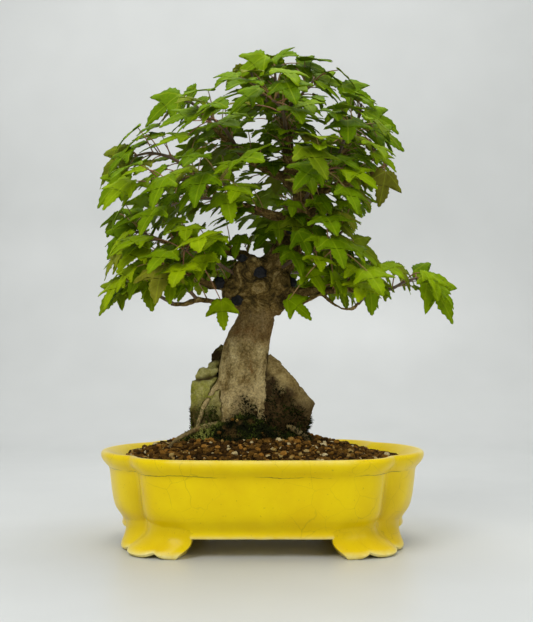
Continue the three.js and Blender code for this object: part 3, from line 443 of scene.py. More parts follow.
def bark_material():
    look = Look("bark", Roughness=0.9, Specular_IOR_Level=0.1)
    trunk = look.ramp(
        look.noise(95, 7, 0.72, (1, 1, 0.7)),
        (0.3, (0.085, 0.056, 0.015)), (0.40, (0.22, 0.15, 0.052)), (0.49, (0.38, 0.285, 0.115)),
        (0.6, (0.54, 0.42, 0.19)), (0.72, (0.70, 0.58, 0.30)))
    rust = look.ramp(look.noise(60, 5, 0.7), (0.56, 0.0), (0.66, 0.8))
    trunk = look.mix(rust, trunk, (0.22, 0.115, 0.035))
    crown = look.ramp(
        look.noise(62, 6, 0.7, swirl=2.2),
        (0.3, (0.016, 0.011, 0.003)), (0.43, (0.080, 0.054, 0.016)), (0.54, (0.21, 0.135, 0.036)),
        (0.66, (0.40, 0.29, 0.11)))
    height = look.wavy(look.axis("Z"), 0.05, 30, 3)
    brown = look.times(look.ease(height, 0.202, 0.222), 0.65)
    trunk = look.mix(brown, trunk, (0.17, 0.09, 0.028))
    colour = look.mix(look.ease(height, 0.226, 0.246), trunk, crown)
    # Darker towards the foot, more so on the right.
    dark_foot_colour = look.ramp(look.noise(90), (0.35, (0.035, 0.026, 0.01)), (0.65, (0.13, 0.095, 0.036)))
    more_on_right = look.fade(look.axis("X"), 0.012, 0.03, 0.55, 0.96)
    colour = look.mix(look.times(look.ease(height, 0.152, 0.128), more_on_right), colour, dark_foot_colour)
    rim = look.fade(look.apart(height, 0.161), 0.012, 0.003)
    colour = look.mix(look.times(rim, 0.4), colour, (0.66, 0.52, 0.26))
    flecks = look.ramp(look.noise(520, 4, 0.7), (0.36, 0.5), (0.6, 1.15))
    relief = look.math("ADD", look.noise(260, 5, 0.7, (1, 1, 0.6)), look.noise(900, 3))
    return look.finish(look.shade(colour, flecks), relief, 0.55, 0.8)


def rock_material():
    look = Look("weathered_rock", Roughness=0.92, Specular_IOR_Level=0.1)
    height = look.axis("Z")
    tan = look.ramp(
        look.noise(48, 7, 0.7),
        (0.32, (0.08, 0.052, 0.016)), (0.43, (0.24, 0.17, 0.06)), (0.55, (0.42, 0.32, 0.13)),
        (0.70, (0.60, 0.48, 0.22)))
    green = look.ramp(
        look.noise(62, 7, 0.7),
        (0.33, (0.10, 0.09, 0.018)), (0.44, (0.31, 0.29, 0.075)), (0.56, (0.50, 0.46, 0.17)),
        (0.72, (0.68, 0.63, 0.33)))
    film = look.ramp(look.noise(75, 5, 0.7), (0.46, 0.0), (0.58, 0.55))
    low = look.fade(height, 0.158, 0.146)
    green = look.mix(look.times(film, low), green, (0.26, 0.27, 0.02))
    left = look.fade(look.wavy(look.axis("X"), 0.03, 40, 3), -0.02, -0.04)
    colour = look.mix(left, tan, green)
    weathered, crevice = look.channels("stain_and_crevice_shade")[:2]
    ragged = look.ramp(look.noise(130, 5, 0.7), (0.3, 0.45), (0.55, 1.0))
    # Dark weathering, and painted shade in the crevices.
    stain_and_crevice_shade = look.math("MAXIMUM", look.times(weathered, ragged), crevice)
    colour = look.mix(stain_and_crevice_shade, colour, (0.040, 0.024, 0.009))
    # Darker towards its foot, which is lower at the left.
    foot = look.math("MULTIPLY_ADD", left, 0.012, look.wavy(height, 0.03, 45, 3))
    colour = look.mix(look.times(look.ease(foot, 0.166, 0.136), 0.85), colour, (0.060, 0.034, 0.011))
    grit = look.ramp(look.noise(600), (0.3, 0.6), (0.7, 1.2))
    relief = look.math("ADD", look.noise(180, 5, 0.7), look.noise(700, 3))
    return look.finish(look.shade(colour, grit), relief, 0.6, 0.9)


def moss_material():
    look = Look("moss", Roughness=0.95, Specular_IOR_Level=0.1)
    base = look.ramp(
        look.channels("tuft")[0],
        (0.0, (0.004, 0.005, 0.001)), (0.3, (0.013, 0.016, 0.002)), (0.55, (0.050, 0.070, 0.006)),
        (1.0, (0.30, 0.32, 0.07)))
    litter = look.ramp(look.noise(75, 5), (0.56, 0.0), (0.62, 0.75))
    base = look.mix(litter, base, (0.075, 0.042, 0.012))
    return look.finish(look.shade(base, look.ramp(look.noise(220, 3), (0.3, 0.6), (0.7, 1.4))))


def paste_material():
    look = Look("wound_paste", Roughness=0.62, Specular_IOR_Level=0.25)
    colour = look.ramp(look.noise(260), (0.35, (0.005, 0.005, 0.006)), (0.7, (0.026, 0.026, 0.031)))
    return look.finish(colour, look.noise(500), 0.6, 0.5)


def plastic_material():
    look = Look("screen_plastic", Roughness=0.55)
    colour = look.ramp(look.noise(300, 2), (0.3, 0.012), (0.7, 0.03))
    return look.finish(colour, look.noise(1500, 2), 0.2, 0.1)


VEIN_TIP = (0.57, 0.47)  # tip of the side lobe in leaf units, where its vein ends


def leaf_veins(look):
    """Where the leaf's veins run: three main ones and the fine ones that branch from them."""
    spot = look.node("UVMap", {}, uv_map="leaf")
    x, y = (look.node("SeparateXYZ", {0: spot}, letter) for letter in "XY")
    x = look.math("ABSOLUTE", x)
    reach = math.hypot(*VEIN_TIP)
    off_side_vein = look.apart(look.times(x, VEIN_TIP[1] / reach), look.times(y, VEIN_TIP[0] / reach))
    nearest = look.math("MINIMUM", x, off_side_vein)
    slope = look.math("MULTIPLY_ADD", nearest, -1.15, y)
    comb = look.apart(look.math("FRACT", look.times(slope, 11.0)), 0.5)
    fine = look.ramp(comb, (0.0, 0.55), (0.09, 0.0))
    return look.math("MAXIMUM", look.ramp(nearest, (0.004, 1.0), (0.022, 0.0)), fine)


def leaf_material():
    look = Look("leaf", Roughness=0.55, Specular_IOR_Level=0.03, Subsurface_Weight=0.2,
                Subsurface_Radius=(0.7, 0.8, 0.02), Subsurface_Scale=0.002)
    # The lightness carries painted light as well as each leaf's own tone.
    lightness_and_painted_light, bronzing = look.channels("tone")[:2]
    green = look.ramp(
        lightness_and_painted_light,
        (0.0, (0.055, 0.105, 0.001)), (0.35, (0.105, 0.19, 0.001)), (0.65, (0.19, 0.29, 0.001)),
        (1.0, (0.30, 0.38, 0.002)))
    green = look.mix(look.ramp(bronzing, (0.86, 0.0), (1.0, 0.7)), green, (0.17, 0.13, 0.02))
    green = look.shade(green, look.ramp(look.noise(90), (0.3, 0.78), (0.7, 1.18)))
    veins = leaf_veins(look)
    pale = look.mix(0.5, green, (0.42, 0.50, 0.02))
    upper = look.mix(look.times(veins, 0.5), green, pale)
    under = look.mix(0.4, green, (0.21, 0.28, 0.015))
    return look.finish(look.mix(look.layer("tone", "Alpha"), under, upper), veins, -0.35, 0.3)


def stalk_material():
    look = Look("stalk", Roughness=0.55)
    colour = look.ramp(
        look.channels("stalk")[0],
        (0.0, (0.085, 0.055, 0.035)), (0.45, (0.16, 0.10, 0.055)), (0.55, (0.30, 0.12, 0.05)),
        (1.0, (0.38, 0.26, 0.07)))
    flecks = look.ramp(look.noise(500, 3), (0.35, 0.7), (0.65, 1.2))
    return look.finish(look.shade(colour, flecks), look.noise(900, 3), 0.3, 0.2)


def floor_material():
    look = Look("pale_floor", Roughness=0.38)
    colour = look.ramp(look.noise(6, 2), (0.3, (0.56, 0.575, 0.565)), (0.7, (0.59, 0.605, 0.595)))
    return look.finish(colour)


# ---- pot ----

END_LOBE_CENTRE = POT_HALF_LENGTH - END_LOBE_RADIUS


def end_lobe_rim(angle):
    side = END_LOBE_CENTRE * math.sin(angle)
    return END_LOBE_CENTRE * math.cos(angle) + math.sqrt(END_LOBE_RADIUS ** 2 - side ** 2)


CREASE_X, CREASE_Y = polar(end_lobe_rim(CREASE_ANGLE), CREASE_ANGLE)
CREASE_SHARE = (CREASE_Y / POT_HALF_DEPTH) ** LONG_LOBE_POWER
LONG_LOBE_HALF = CREASE_X / (1 - CREASE_SHARE) ** (1 / LONG_LOBE_POWER)
RIM_CREASE = 2.6  # depth of the crease at the rim and the skirt
BODY_CREASE = 4.0  # and half way up the wall
WALL_MIDDLE = 50


def quarter_angle(angle):
    """The angle from the pot's long axis, the same in all four quarters."""
    return abs(math.asin(math.sin(angle)))


def rim_radius(angle, crease=CREASE_DEPTH):
    """The rim's radius in the direction of an angle."""
    quarter = quarter_angle(angle)
    notch = crease * near(quarter, CREASE_ANGLE, CREASE_SPREAD) ** 1.5
    if quarter < CREASE_ANGLE:
        return end_lobe_rim(quarter) - notch
    across = (abs(math.cos(quarter)) / LONG_LOBE_HALF) ** LONG_LOBE_POWER
    along = (math.sin(quarter) / POT_HALF_DEPTH) ** LONG_LOBE_POWER
    radius = (across + along) ** (-1 / LONG_LOBE_POWER)
    brace = near(abs(math.cos(quarter)) * radius, 0, BRACE_HALF)
    return radius - notch + BRACE_POINT * brace * brace * (3 - 2 * brace)


# The pot's section from the underside out, up and in: [inset from the rim, height, paleness].
# On the lip the paleness is partly a painted highlight along its top edge and partly pale scuffs.
POT_SECTION = [
    (26, 19.4, 0), (24.4, 17.6, 0.6), (23, 16.3, 1), (20.9, 16, 1), (19.8, 16.9, 0.8),
    (19.9, 19, 0.1), (20.4, 22, 0), (17.6, 27, 0), (13.6, 33, 0), (11.2, 42, 0), (9.8, 52, 0),
    (8.9, 60, 0), (8.3, 66, 0), (7.3, 69.2, 0), (5.2, 71.6, 0), (2.9, 74.2, 0), (1.3, 76.8, 0),
    (0.5, 79.4, 0.05), (0.7, 81.9, 0.3), (2.2, 83.5, 0.5), (4.4, 83.9, 0.3), (7.0, 83.3, 0.1),
    (12, 80.4, 0), (16.4, 76.9, 0), (19.8, 73.4, 0), (21.2, 69, 0), (24, 54, 0), (26.4, 38, 0),
    (28, 31, 0), (31, 28.1, 0),
]
POT_SEGMENTS = 240
UNDERSIDE = 19.5
FOOT_FROM, FOOT_TO = math.radians(14), math.radians(58)  # the quarter's part above a foot
FOOT_FADE = math.radians(4)
SKIRT_TUCK = 3.2  # the skirt is drawn in above the feet, which run straight into the wall
TUCK_HEIGHTS = (24, 21)  # where that begins and where it is full
CRACK_HEIGHT = 69.4  # the hairline under the lip
CRACK_WANDER = 7.5
CRACK_INSETS = (4, 12)  # it is on the outside of the wall, above the height that follows
CRACK_FROM = 60
PAINTED_SHADE_INSET = 21  # the painted shade lies on the outside only, and below the lip
PAINTED_SHADE_TOP = 80
# Heights between which painted shade darkens the glaze in the creases and above the feet.
CREASE_SHADE_HEIGHTS = (70, 45)
ABOVE_FOOT_SHADE_HEIGHTS = (42, 24)
PAINTED_SHADE_DEPTH = 0.6
UNMARKED = [0, 0, 0, 1]


def crease_at(height):
    """The creases are deepest half way up the wall."""
    swell = math.exp(-((height - WALL_MIDDLE) / 20) ** 2)
    return RIM_CREASE + (BODY_CREASE - RIM_CREASE) * swell


def pot_body():
    """The pot without feet. Marks: paleness, the band of the hairline, and painted shade."""
    section = smooth_path(POT_SECTION, 2)
    points = []
    marks = []
    for inset, height, pale in section:
        crease = crease_at(height)
        below_lip = 1 if CRACK_INSETS[0] < inset < CRACK_INSETS[1] and height > CRACK_FROM else 0
        outside_wall = 1 if inset < PAINTED_SHADE_INSET and height < PAINTED_SHADE_TOP else 0
        for angle in ring_angles(POT_SEGMENTS):
            quarter = quarter_angle(angle)
            above_foot = clamp(min(quarter - FOOT_FROM, FOOT_TO - quarter) / FOOT_FADE)
            tuck = SKIRT_TUCK * above_foot * rise(height, *TUCK_HEIGHTS)
            points.append([*polar(rim_radius(angle, crease) - inset - tuck, angle), height])
            # Painted shade in the creases and above the feet.
            painted_shade = max(near(quarter, CREASE_ANGLE, CREASE_SPREAD) ** 2 * rise(height, *CREASE_SHADE_HEIGHTS),
                         PAINTED_SHADE_DEPTH * above_foot * rise(height, *ABOVE_FOOT_SHADE_HEIGHTS))
            marks.append([pale * (1 - above_foot), below_lip, painted_shade * outside_wall, 1])
    faces = ring_faces(len(section), POT_SEGMENTS, closed_ends=False)
    # The underside and the floor inside close towards their middles.
    pairs = ring_pairs(POT_SEGMENTS)
    for last, height in ((0, UNDERSIDE), (len(points) - POT_SEGMENTS, FLOOR_TOP)):
        inner = []
        inside = last > 0
        edge = points[last:last + POT_SEGMENTS]
        for share in (0.66, 0.33):
            first = len(points)
            points.extend([x * share, y * share, height] for x, y, _ in edge)
            inner.extend([last + j, last + k, first + k, first + j] for j, k in pairs)
            last = first
        inner.extend([last + j, last + k, len(points)] for j, k in pairs)
        points.append([0, 0, height])
        faces.extend(inner if inside else [face[::-1] for face in inner])
    marks.extend([UNMARKED] * (len(points) - len(marks)))
    return painted_object("pot_body", points, faces, "marks", marks)


def recalculate(obj):
    """Turns every face of a closed mesh outward."""
    work = bmesh.new()
    work.from_mesh(obj.data)
    bmesh.ops.recalc_face_normals(work, faces=work.faces)
    work.to_mesh(obj.data)
    work.free()


# Ends of a foot's three scallops, where X and Y are positive, and how far each bulges.
FOOT_CORNERS = [(60, 99), (91, 99), (114, 69), (123, 31)]
FOOT_BULGES = [6, 10, 6.5]
# A foot's layers: height, its flare from the wall to the scallops, and how far its ends draw in.
FOOT_LAYERS = [
    (0.2, 0.84, 0.42), (1.2, 0.95, 0.36), (2.8, 1, 0.33), (4.8, 0.95, 0.25), (7, 0.83, 0.16),
    (9.6, 0.66, 0.08), (12.4, 0.46, 0.02), (15.6, 0.28, 0), (18.5, 0.19, 0), (21.5, 0.16, 0),
    (24.5, 0.165, 0), (27.5, 0.18, 0), (31, 0.1, 0),
]
FOOT_TOP_INSET = 21
FOOT_INNER_INSET = 37
FOOT_END_TURN = 0.08  # the inner face ends this angle short of the outer one at the front
POINTS_PER_SCALLOP = 14
FOOT_INNER_POINTS = 8
NOTCH_LIFT = 3.5  # the lower edge rises between two scallops
NOTCH_TOP = 9
# Heights between which a foot's pale edge fades, and painted shade darkens its glaze.
FOOT_PALE = (5.8, 3.6)
FOOT_SHADE_HEIGHTS = (5, 18)
INNER_PALE = 0.2


def hump(share):
    """0 at both ends of a scallop and 1 half way."""
    return 4 * share * (1 - share)


def scallop_point(turn):
    lobe = min(len(FOOT_CORNERS) - 2, int(turn))
    share = turn - lobe
    (x0, y0), (x1, y1) = FOOT_CORNERS[lobe:lobe + 2]
    length = math.hypot(x1 - x0, y1 - y0)
    bulge = FOOT_BULGES[lobe] * max(0.0, hump(share)) ** 0.6
    return (x0 + (x1 - x0) * share + (y0 - y1) / length * bulge,
            y0 + (y1 - y0) * share + (x1 - x0) / length * bulge)


def pot_foot(name, mirror_x, mirror_y):
    lobes = len(FOOT_CORNERS) - 1
    outer = lobes * POINTS_PER_SCALLOP + 1
    points = []
    marks = []
    for height, flare, draw_in in FOOT_LAYERS:
        ring = []
        for i in range(outer):
            turn = i / POINTS_PER_SCALLOP
            if turn < 1:
                turn = draw_in + (1 - draw_in) * turn
            if turn > lobes - 1:
                turn = lobes - 1 + (1 - draw_in) * (turn - lobes + 1)
            x, y = scallop_point(turn)
            angle = math.atan2(y, x)
            body_x, body_y = polar(rim_radius(angle) - FOOT_TOP_INSET, angle)
            lift = NOTCH_LIFT * (1 - hump(turn % 1)) ** 2 * max(0.0, 1 - height / NOTCH_TOP)
            ring.append([body_x + (x - body_x) * flare, body_y + (y - body_y) * flare, height + lift])
        start, end = (math.atan2(ring[k][1], ring[k][0]) for k in (-1, 0))
        for i in range(FOOT_INNER_POINTS):
            angle = start + (end - FOOT_END_TURN - start) * i / (FOOT_INNER_POINTS - 1)
            ring.append([*polar(rim_radius(angle) - FOOT_INNER_INSET, angle), height])
        points.extend([x * mirror_x, y * mirror_y, z] for x, y, z in ring)
        # Painted shade, growing darker up towards the wall.
        painted_shade = PAINTED_SHADE_DEPTH * rise(height, *FOOT_SHADE_HEIGHTS)
        marks.extend([[rise(height, *FOOT_PALE), 0, painted_shade, 1]] * outer)
        marks.extend([[INNER_PALE, 0, painted_shade, 1]] * FOOT_INNER_POINTS)
    faces = ring_faces(len(FOOT_LAYERS), outer + FOOT_INNER_POINTS)
    if mirror_x * mirror_y < 0:
        faces = [face[::-1] for face in faces]
    obj = painted_object(name, points, faces, "marks", marks)
    recalculate(obj)
    return obj


def drain_cutter(name, x):
    """A round rod that reaches through the pot's floor."""
    sides = 48
    ring = [polar(DRAIN_RADIUS, angle) for angle in ring_angles(sides)]
    points = [[x + px, py, z] for z in (5, FLOOR_TOP + 5) for px, py in ring]
    return painted_object(name, points, ring_faces(2, sides), "marks", [UNMARKED] * len(points))


def carve(obj, other, operation):
    cut = obj.modifiers.new(operation.lower(), "BOOLEAN")
    cut.operation = operation
    cut.object = other
    cut.solver = "EXACT"
    applied(obj)
    bpy.data.objects.remove(other)


def marked_points(obj):
    layer = obj.data.color_attributes["marks"].data
    return [(v.co.copy(), tuple(layer[v.index].color)) for v in obj.data.vertices]


def restore_marks(obj, known):
    """Gives every point the marks of the nearest known one: joining forms leaves blank ones."""
    search = KDTree(len(known))
    for number, (place, _) in enumerate(known):
        search.insert(place, number)
    search.balance()
    layer = obj.data.color_attributes["marks"].data
    for v in obj.data.vertices:
        layer[v.index].color = known[search.find(v.co)[1]][1]


def build_pot(material):
    pot = pot_body()
    known = marked_points(pot)
    for mirror_x in (-1, 1):
        for mirror_y in (-1, 1):
            foot = pot_foot(f"foot_{mirror_x}_{mirror_y}", mirror_x, mirror_y)
            known.extend(marked_points(foot))
            carve(pot, foot, "UNION")
        carve(pot, drain_cutter("drain", mirror_x * DRAIN_OFFSET), "DIFFERENCE")
    restore_marks(pot, known)
    pot.name = "glazed_pot"
    shade_smooth(pot)
    pot.data.set_sharp_from_angle(angle=math.radians(42))
    finish_piece(pot, material, ["pot"])


# ---- wood, rock, seals ----

def tree_of(*nodes):
    """A search tree over CAD nodes, in the frame's metres."""
    batch = Batch()
    for name in nodes:
        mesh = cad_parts[name].data
        batch.add([v.co.copy() for v in mesh.vertices], [p.vertices for p in mesh.polygons])
    return BVHTree.FromPolygons(batch.points, batch.faces)


SEALS = [f"wound_seal_{number}" for number in range(1, 9)]
SEAL_CENTRES = [np.mean(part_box(seal), axis=0) * 1000 - POT_CENTRE for seal in SEALS]
# Heights between which the crown's knots set in and fade out again.
CROWN_FOOT = (200, 214)
CROWN_TOP = (276, 262)
TRUNK_HALF = 42  # beyond this the wood is branches, with weaker relief
TRUNK_CLEFT = -12  # where the trunk's foot divides into two roots
TOE_WIDTH = 14
TOE_HEIGHTS = (154, 138)  # where the two begin to show and where they are full
TOE_REACH = 32
RIB_MIDDLE, RIB_REACH = 150, 60  # height where the trunk's ribs are deepest, and how far they run
SEAL_RIM = (6, 11)  # distances from a seal between which the bark's relief sets in


def bark_depth(p):
    x, y, z = p
    lumps = 0.6 * fractal(p, 16) + 0.4 * fractal(p, 4.5)
    knobs = 2.8 * fractal(p, 11) + 0.9 * fractal(p, 3.2, 2)
    knobs *= rise(z, *CROWN_FOOT) * rise(z, *CROWN_TOP)
    ribs = 0.48 * math.sin(x * 0.42 + 2.2 * fractal((x, y, z * 0.3), 22))
    ribs *= near(z, RIB_MIDDLE, RIB_REACH)
    toes = 1.8 * math.cos((x - TRUNK_CLEFT) * math.pi / TOE_WIDTH + math.pi) * rise(z, *TOE_HEIGHTS)
    relief = lumps + knobs + ribs + toes * near(x, TRUNK_CLEFT, TOE_REACH)
    free = rise(min(np.linalg.norm(p - centre) for centre in SEAL_CENTRES), *SEAL_RIM)
    return (1 if abs(x) < TRUNK_HALF else 0.35) * relief * free - 0.5 * (1 - free)


LEFT_ROCK = -26  # the left piece of the rock lies beyond this X
CREVICES = (150, 165)  # heights of the two cracks that split it
CREVICE_HALF = 1.6
ROCK_EDGE = np.array([10, 0, 172])  # top of the right shoulder
EDGE_INWARD = np.array([-0.77, 0, -0.637])  # square to its sloping edge
STAIN_FROM = (10, 15)  # distances inside that edge between which the stain sets in


def crevice_at(p):
    if p[0] > LEFT_ROCK:
        return 0.0
    wander = 2.5 * fractal(p, 14) + 0.2 * (p[0] + 55)
    return max(math.exp(-((p[2] - height - wander) / CREVICE_HALF) ** 2) for height in CREVICES)


def stain_at(p):
    """Dark weathering: inside the right shoulder's edge and on the upper piece at the left."""
    if p[0] < LEFT_ROCK:
        return clamp((p[2] - CREVICES[1] - 3 * fractal(p, 12)) / 3)
    return rise((p - ROCK_EDGE).dot(EDGE_INWARD) + 7 * fractal(p, 15), *STAIN_FROM)


ROCK_UNDERCUT = 5  # the left piece draws in towards its foot
UNDERCUT_HEIGHTS = (142, 112)
UNDERCUT_PLACES = (-54, -70)  # the same along X


def undercut_at(p):
    return ROCK_UNDERCUT * rise(p[2], *UNDERCUT_HEIGHTS) * rise(p[0], *UNDERCUT_PLACES)


def rock_depth(p):
    chips = noise.cell(Vector(p) / 9) - 0.5
    return (1.7 * fractal(p, 24) + 0.9 * fractal(p, 7) + 0.6 * chips - 0.4 - 2.4 * crevice_at(p)
            - undercut_at(p))


def build_rock(material):
    rock = refined("rock_stone", "rock", 1.5, 1)
    points = layout_points(rock.data)
    # Marks: dark weathering, and painted shade in the crevices.
    marks = [[stain_at(p), crevice_at(p), 0, 1] for p in points]
    paint(displaced(rock, rock_depth), "stain_and_crevice_shade", marks)
    finish_piece(rock, material, ["rock"])


def seal_depth(p):
    return 0.55 * fractal(p, 3)


# ---- soil and moss ----

TREE_FOOT = (-10, 0)
GRAIN_SEED = 404
GRAIN_COUNT = 5600
GRAIN_RELIEF = 3
GRAIN_SMALLEST = 1.2
GRAIN_SPREAD = 2.3
GRAIN_SQUASH = [(1, 0.35), (1, 0.35), (0.8, 0.3)]  # along X, Y and Z: middle and range
GRAIN_WALL_GAP = 0.6
COVER_TOP = 125  # wood higher than this doesn't cover the soil
UNDER_COVER = 0.1  # share of the grains that stays under rock and roots
ON_MOSS = 0.015  # share of the grains that lies on the moss
BED_TONE = 0.12
GOLDEN = (1 + 5 ** 0.5) / 2
ICOSAHEDRON = [unit(np.roll((a, b, 0.0), turn))
               for turn in range(3) for b in (GOLDEN, -GOLDEN) for a in (-1, 1)]
ICOSAHEDRON_FACES = [
    (0, 11, 5), (0, 5, 1), (0, 1, 7), (0, 7, 10), (0, 10, 11), (1, 5, 9), (5, 11, 4), (11, 10, 2),
    (10, 7, 6), (7, 1, 8), (3, 9, 4), (3, 4, 2), (3, 2, 6), (3, 6, 8), (3, 8, 9), (4, 9, 5),
    (2, 4, 11), (6, 2, 10), (8, 6, 7), (9, 8, 1)]


def drop(search, x, y, top=260):
    """Where a line straight down at x, y meets a search tree: its height, or None."""
    start = (Vector((x, y, top)) + Vector(POT_CENTRE)) / 1000
    hit = search.ray_cast(start, Vector((0, 0, -1)))
    return None if hit[0] is None else hit[0].z * 1000


def grain(batch, draw, x, y, z, size):
    """One soil grain: a squeezed and turned icosahedron with shifted corners."""
    spread = np.array([middle + reach * (draw() - 0.5) for middle, reach in GRAIN_SQUASH])
    c, s = polar(1, draw() * 2 * math.pi)
    points = []
    for corner in ICOSAHEDRON:
        p = corner * spread * size * (1 + 0.3 * (draw() - 0.5))
        points.append([x + c * p[0] - s * p[1], y + s * p[0] + c * p[1], z + p[2]])
    batch.add(points, ICOSAHEDRON_FACES, (draw(), draw(), 0, 1))


def build_soil(material):
    draw = random_from(GRAIN_SEED)
    batch = Batch()
    ground = tree_of("soil")
    cover = tree_of("rock", "trunk")
    cushion = tree_of("moss")
    while len(batch.points) < GRAIN_COUNT * len(ICOSAHEDRON):
        x = (draw() * 2 - 1) * POT_HALF_LENGTH
        y = (draw() * 2 - 1) * POT_HALF_DEPTH
        size = GRAIN_SMALLEST + GRAIN_SPREAD * draw() ** 2.4
        if math.hypot(x, y) > rim_radius(math.atan2(y, x)) - WALL_INSET - size - GRAIN_WALL_GAP:
            continue
        z = drop(ground, x, y)
        moss_z = drop(cushion, x, y)
        if drop(cover, x, y, COVER_TOP) is not None and draw() > UNDER_COVER:
            continue
        if moss_z is not None and draw() > ON_MOSS:
            continue
        z = max(v for v in (z, moss_z, 0) if v is not None)
        if z > 0:
            grain(batch, draw, x, y, z + GRAIN_RELIEF * (draw() - 0.5), size)
    grains = batch.build("soil_grains", "grain", smooth=False)
    finish_piece(grains, material, ["soil"])
    bed = linked("soil_bed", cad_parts["soil"].data.copy())
    paint(bed, "grain", np.full(len(bed.data.vertices), BED_TONE))
    finish_piece(bed, material, ["soil"])


CUSHION_TONE = 0.22  # the cushion under the tufts is much darker than they are
MOSS_SEED = 909
TUFT_COUNT = 6500
TUFT_FLOOR = 84  # the cushion's part below this is in the soil
BRIGHT_MOSS = (-62, -24)  # X and Y of the bright cushion at the left front, then its radius
BRIGHT_RADIUS = 34
CLIMB_COUNT = 5200
CLIMB_FROM = 92
CLIMB_SPAN = 58
# Height that the moss climbs to on the wood and the rock: X and height.
CLIMB = [(-80, 120), (-66, 127), (-46, 126), (-36, 116), (-15, 134), (-2, 124), (9, 146), (24, 138),
         (40, 123), (50, 110)]


def tuft(batch, draw, at, lean, height, tone):
    """One moss spike: a slim four-faced point."""
    side = unit(np.cross(lean, [0.3, 0.5, 0.8]))
    other = np.cross(lean, side)
    radius = 0.42 + 0.3 * draw()
    base = [at + radius * (math.cos(angle) * side + math.sin(angle) * other) - lean * 0.8
            for angle in (0, 2.1, 4.2)]
    batch.add([*base, at + lean * height], [(0, 2, 1), (0, 1, 3), (1, 2, 3), (2, 0, 3)],
              (tone, 0, 0, 1))


def moss_depth(p):
    return 3.4 * fractal(p, 12) + 1.6 * fractal(p, 4)


def left_front(p):
    """How near a point is to the bright cushion at the left front, from 0 to 1."""
    return near(math.hypot(p[0] - BRIGHT_MOSS[0], p[1] - BRIGHT_MOSS[1]), 0, BRIGHT_RADIUS)


def moss_tone(p):
    return clamp((0.42 + 0.6 * fractal(p, 13)) * 0.62 + 0.7 * left_front(p))


def build_moss(material):
    cushion = displaced(refined("moss_cushion", "moss", 2.2, 3), moss_depth)
    points = layout_points(cushion.data)
    paint(cushion, "tuft", [CUSHION_TONE * moss_tone(p) for p in points])
    finish_piece(cushion, material, ["moss"])
    draw = random_from(MOSS_SEED)
    batch = Batch()
    normals = corner_values(cushion.data, "normal")
    order = [k for k in range(len(points)) if points[k][2] > TUFT_FLOOR and normals[k][2] > -0.1]
    for _ in range(TUFT_COUNT):
        k = order[int(draw() * len(order))]
        lean = unit(normals[k] + np.array([draw() - 0.5, draw() - 0.5, 0.5 * draw()]) * 1.6)
        at = points[k] + np.array([draw() - 0.5, draw() - 0.5, 0]) * 2
        tone = moss_tone(at) + 0.3 * (draw() - 0.5)
        tuft(batch, draw, at, lean, 1.6 + (3.6 + 4 * left_front(at)) * draw() ** 1.5, tone)
    climb(batch, draw)
    tufts = batch.build("moss_tufts", "tuft")
    finish_piece(tufts, material, ["moss"])


def climb(batch, draw):
    """Moss that creeps up the foot of the trunk and the rock, in patches."""
    search = tree_of("rock", "trunk")
    places, heights = zip(*CLIMB)
    made = 0
    for _ in range(5 * CLIMB_COUNT):
        turn = draw() * 2 * math.pi
        height = CLIMB_FROM + CLIMB_SPAN * draw() ** 1.2
        start = np.array([TREE_FOOT[0] + 130 * math.cos(turn), 110 * math.sin(turn), height])
        aim = np.array([TREE_FOOT[0] + 90 * (draw() - 0.5), 20 * (draw() - 0.5), height]) - start
        hit = search.ray_cast(Vector((start + POT_CENTRE) / 1000), Vector(unit(aim)))
        if hit[0] is None:
            continue
        at, outward = np.array(hit[0]) * 1000 - POT_CENTRE, np.array(hit[1])
        patch = 0.9 * fractal(at, 12, 2) + (np.interp(at[0], places, heights) - at[2]) / 9
        if patch < draw():
            continue
        at = at - outward * undercut_at(at)
        lean = unit(outward + np.array([draw() - 0.5, draw() - 0.5, 0.6 * draw()]))
        tuft(batch, draw, at, lean, 1.4 + 2.8 * draw(), 0.7 * moss_tone(at) + 0.2 * draw())
        made += 1
        if made > CLIMB_COUNT:
            break


# ---- leaves: the same rule as the solids', with finer blades ----

CANOPY_CENTRE = np.array([12.0, 0, 305])
LEAF_MIN = 29
LEAF_MAX = 43
LIGHT_LEAN = 0.3
LIGHT_LIMIT = 45
LEAF_CLEARANCE = 8
WOOD_CLEARANCE = 4
LEAF_TRIES = 60
LAST_SHARE = 0.98  # where a shoot's last leaf stands along its stem
STALK_LENGTH = 20
STALK_ROOM = 0.7
TWIG_ROOM = 1.5
EYE = (3.7, -941, 166.4)  # point in front that the canopy's outline is seen from
# Outline of the canopy from the eye, drawn on the plane y = 0: height, left, right.
CANOPY_OUTLINE = [
    (203, -157, 184), (242, -153, 178), (262, -149, 108), (281, -148, 86), (311, -158, 107),
    (333, -156, 118), (350, -146, 129), (370, -136, 133), (390, -113, 121), (405, -90, 108),
    (431, -50, 84), (445, -14, 66), (459, 2, 26),
]
# The canopy's lower edge from the same eye: X and height.
CANOPY_HEM = [
    (-158, 211), (-133, 215), (-108, 221), (-88, 219), (-56, 228), (-40, 226), (30, 221),
    (52, 223), (80, 211), (105, 211), (123, 224), (145, 227), (160, 221), (185, 203),
]
CROWN_WINDOW = (-40, 30, 256)  # the front of the crown stays open: left, right, top
LEAF_SEED = 34
LEAF_FOLD = 0.2
LEAF_ARCH = 0.2
LEAF_DROOP = 0.34
# Points of a blade that are tested for room: along its middle and on both halves.
HALF_PROBES = np.array([[0.2, 0.06], [0.2, 0.3], [0.4, 0.28], [0.5, 0.44], [0.18, 0.58]])
LEAF_PROBES = np.concatenate([[[0, y] for y in (0.05, 0.27, 0.5, 0.72, 0.95)],
                              HALF_PROBES, HALF_PROBES * [-1, 1]])
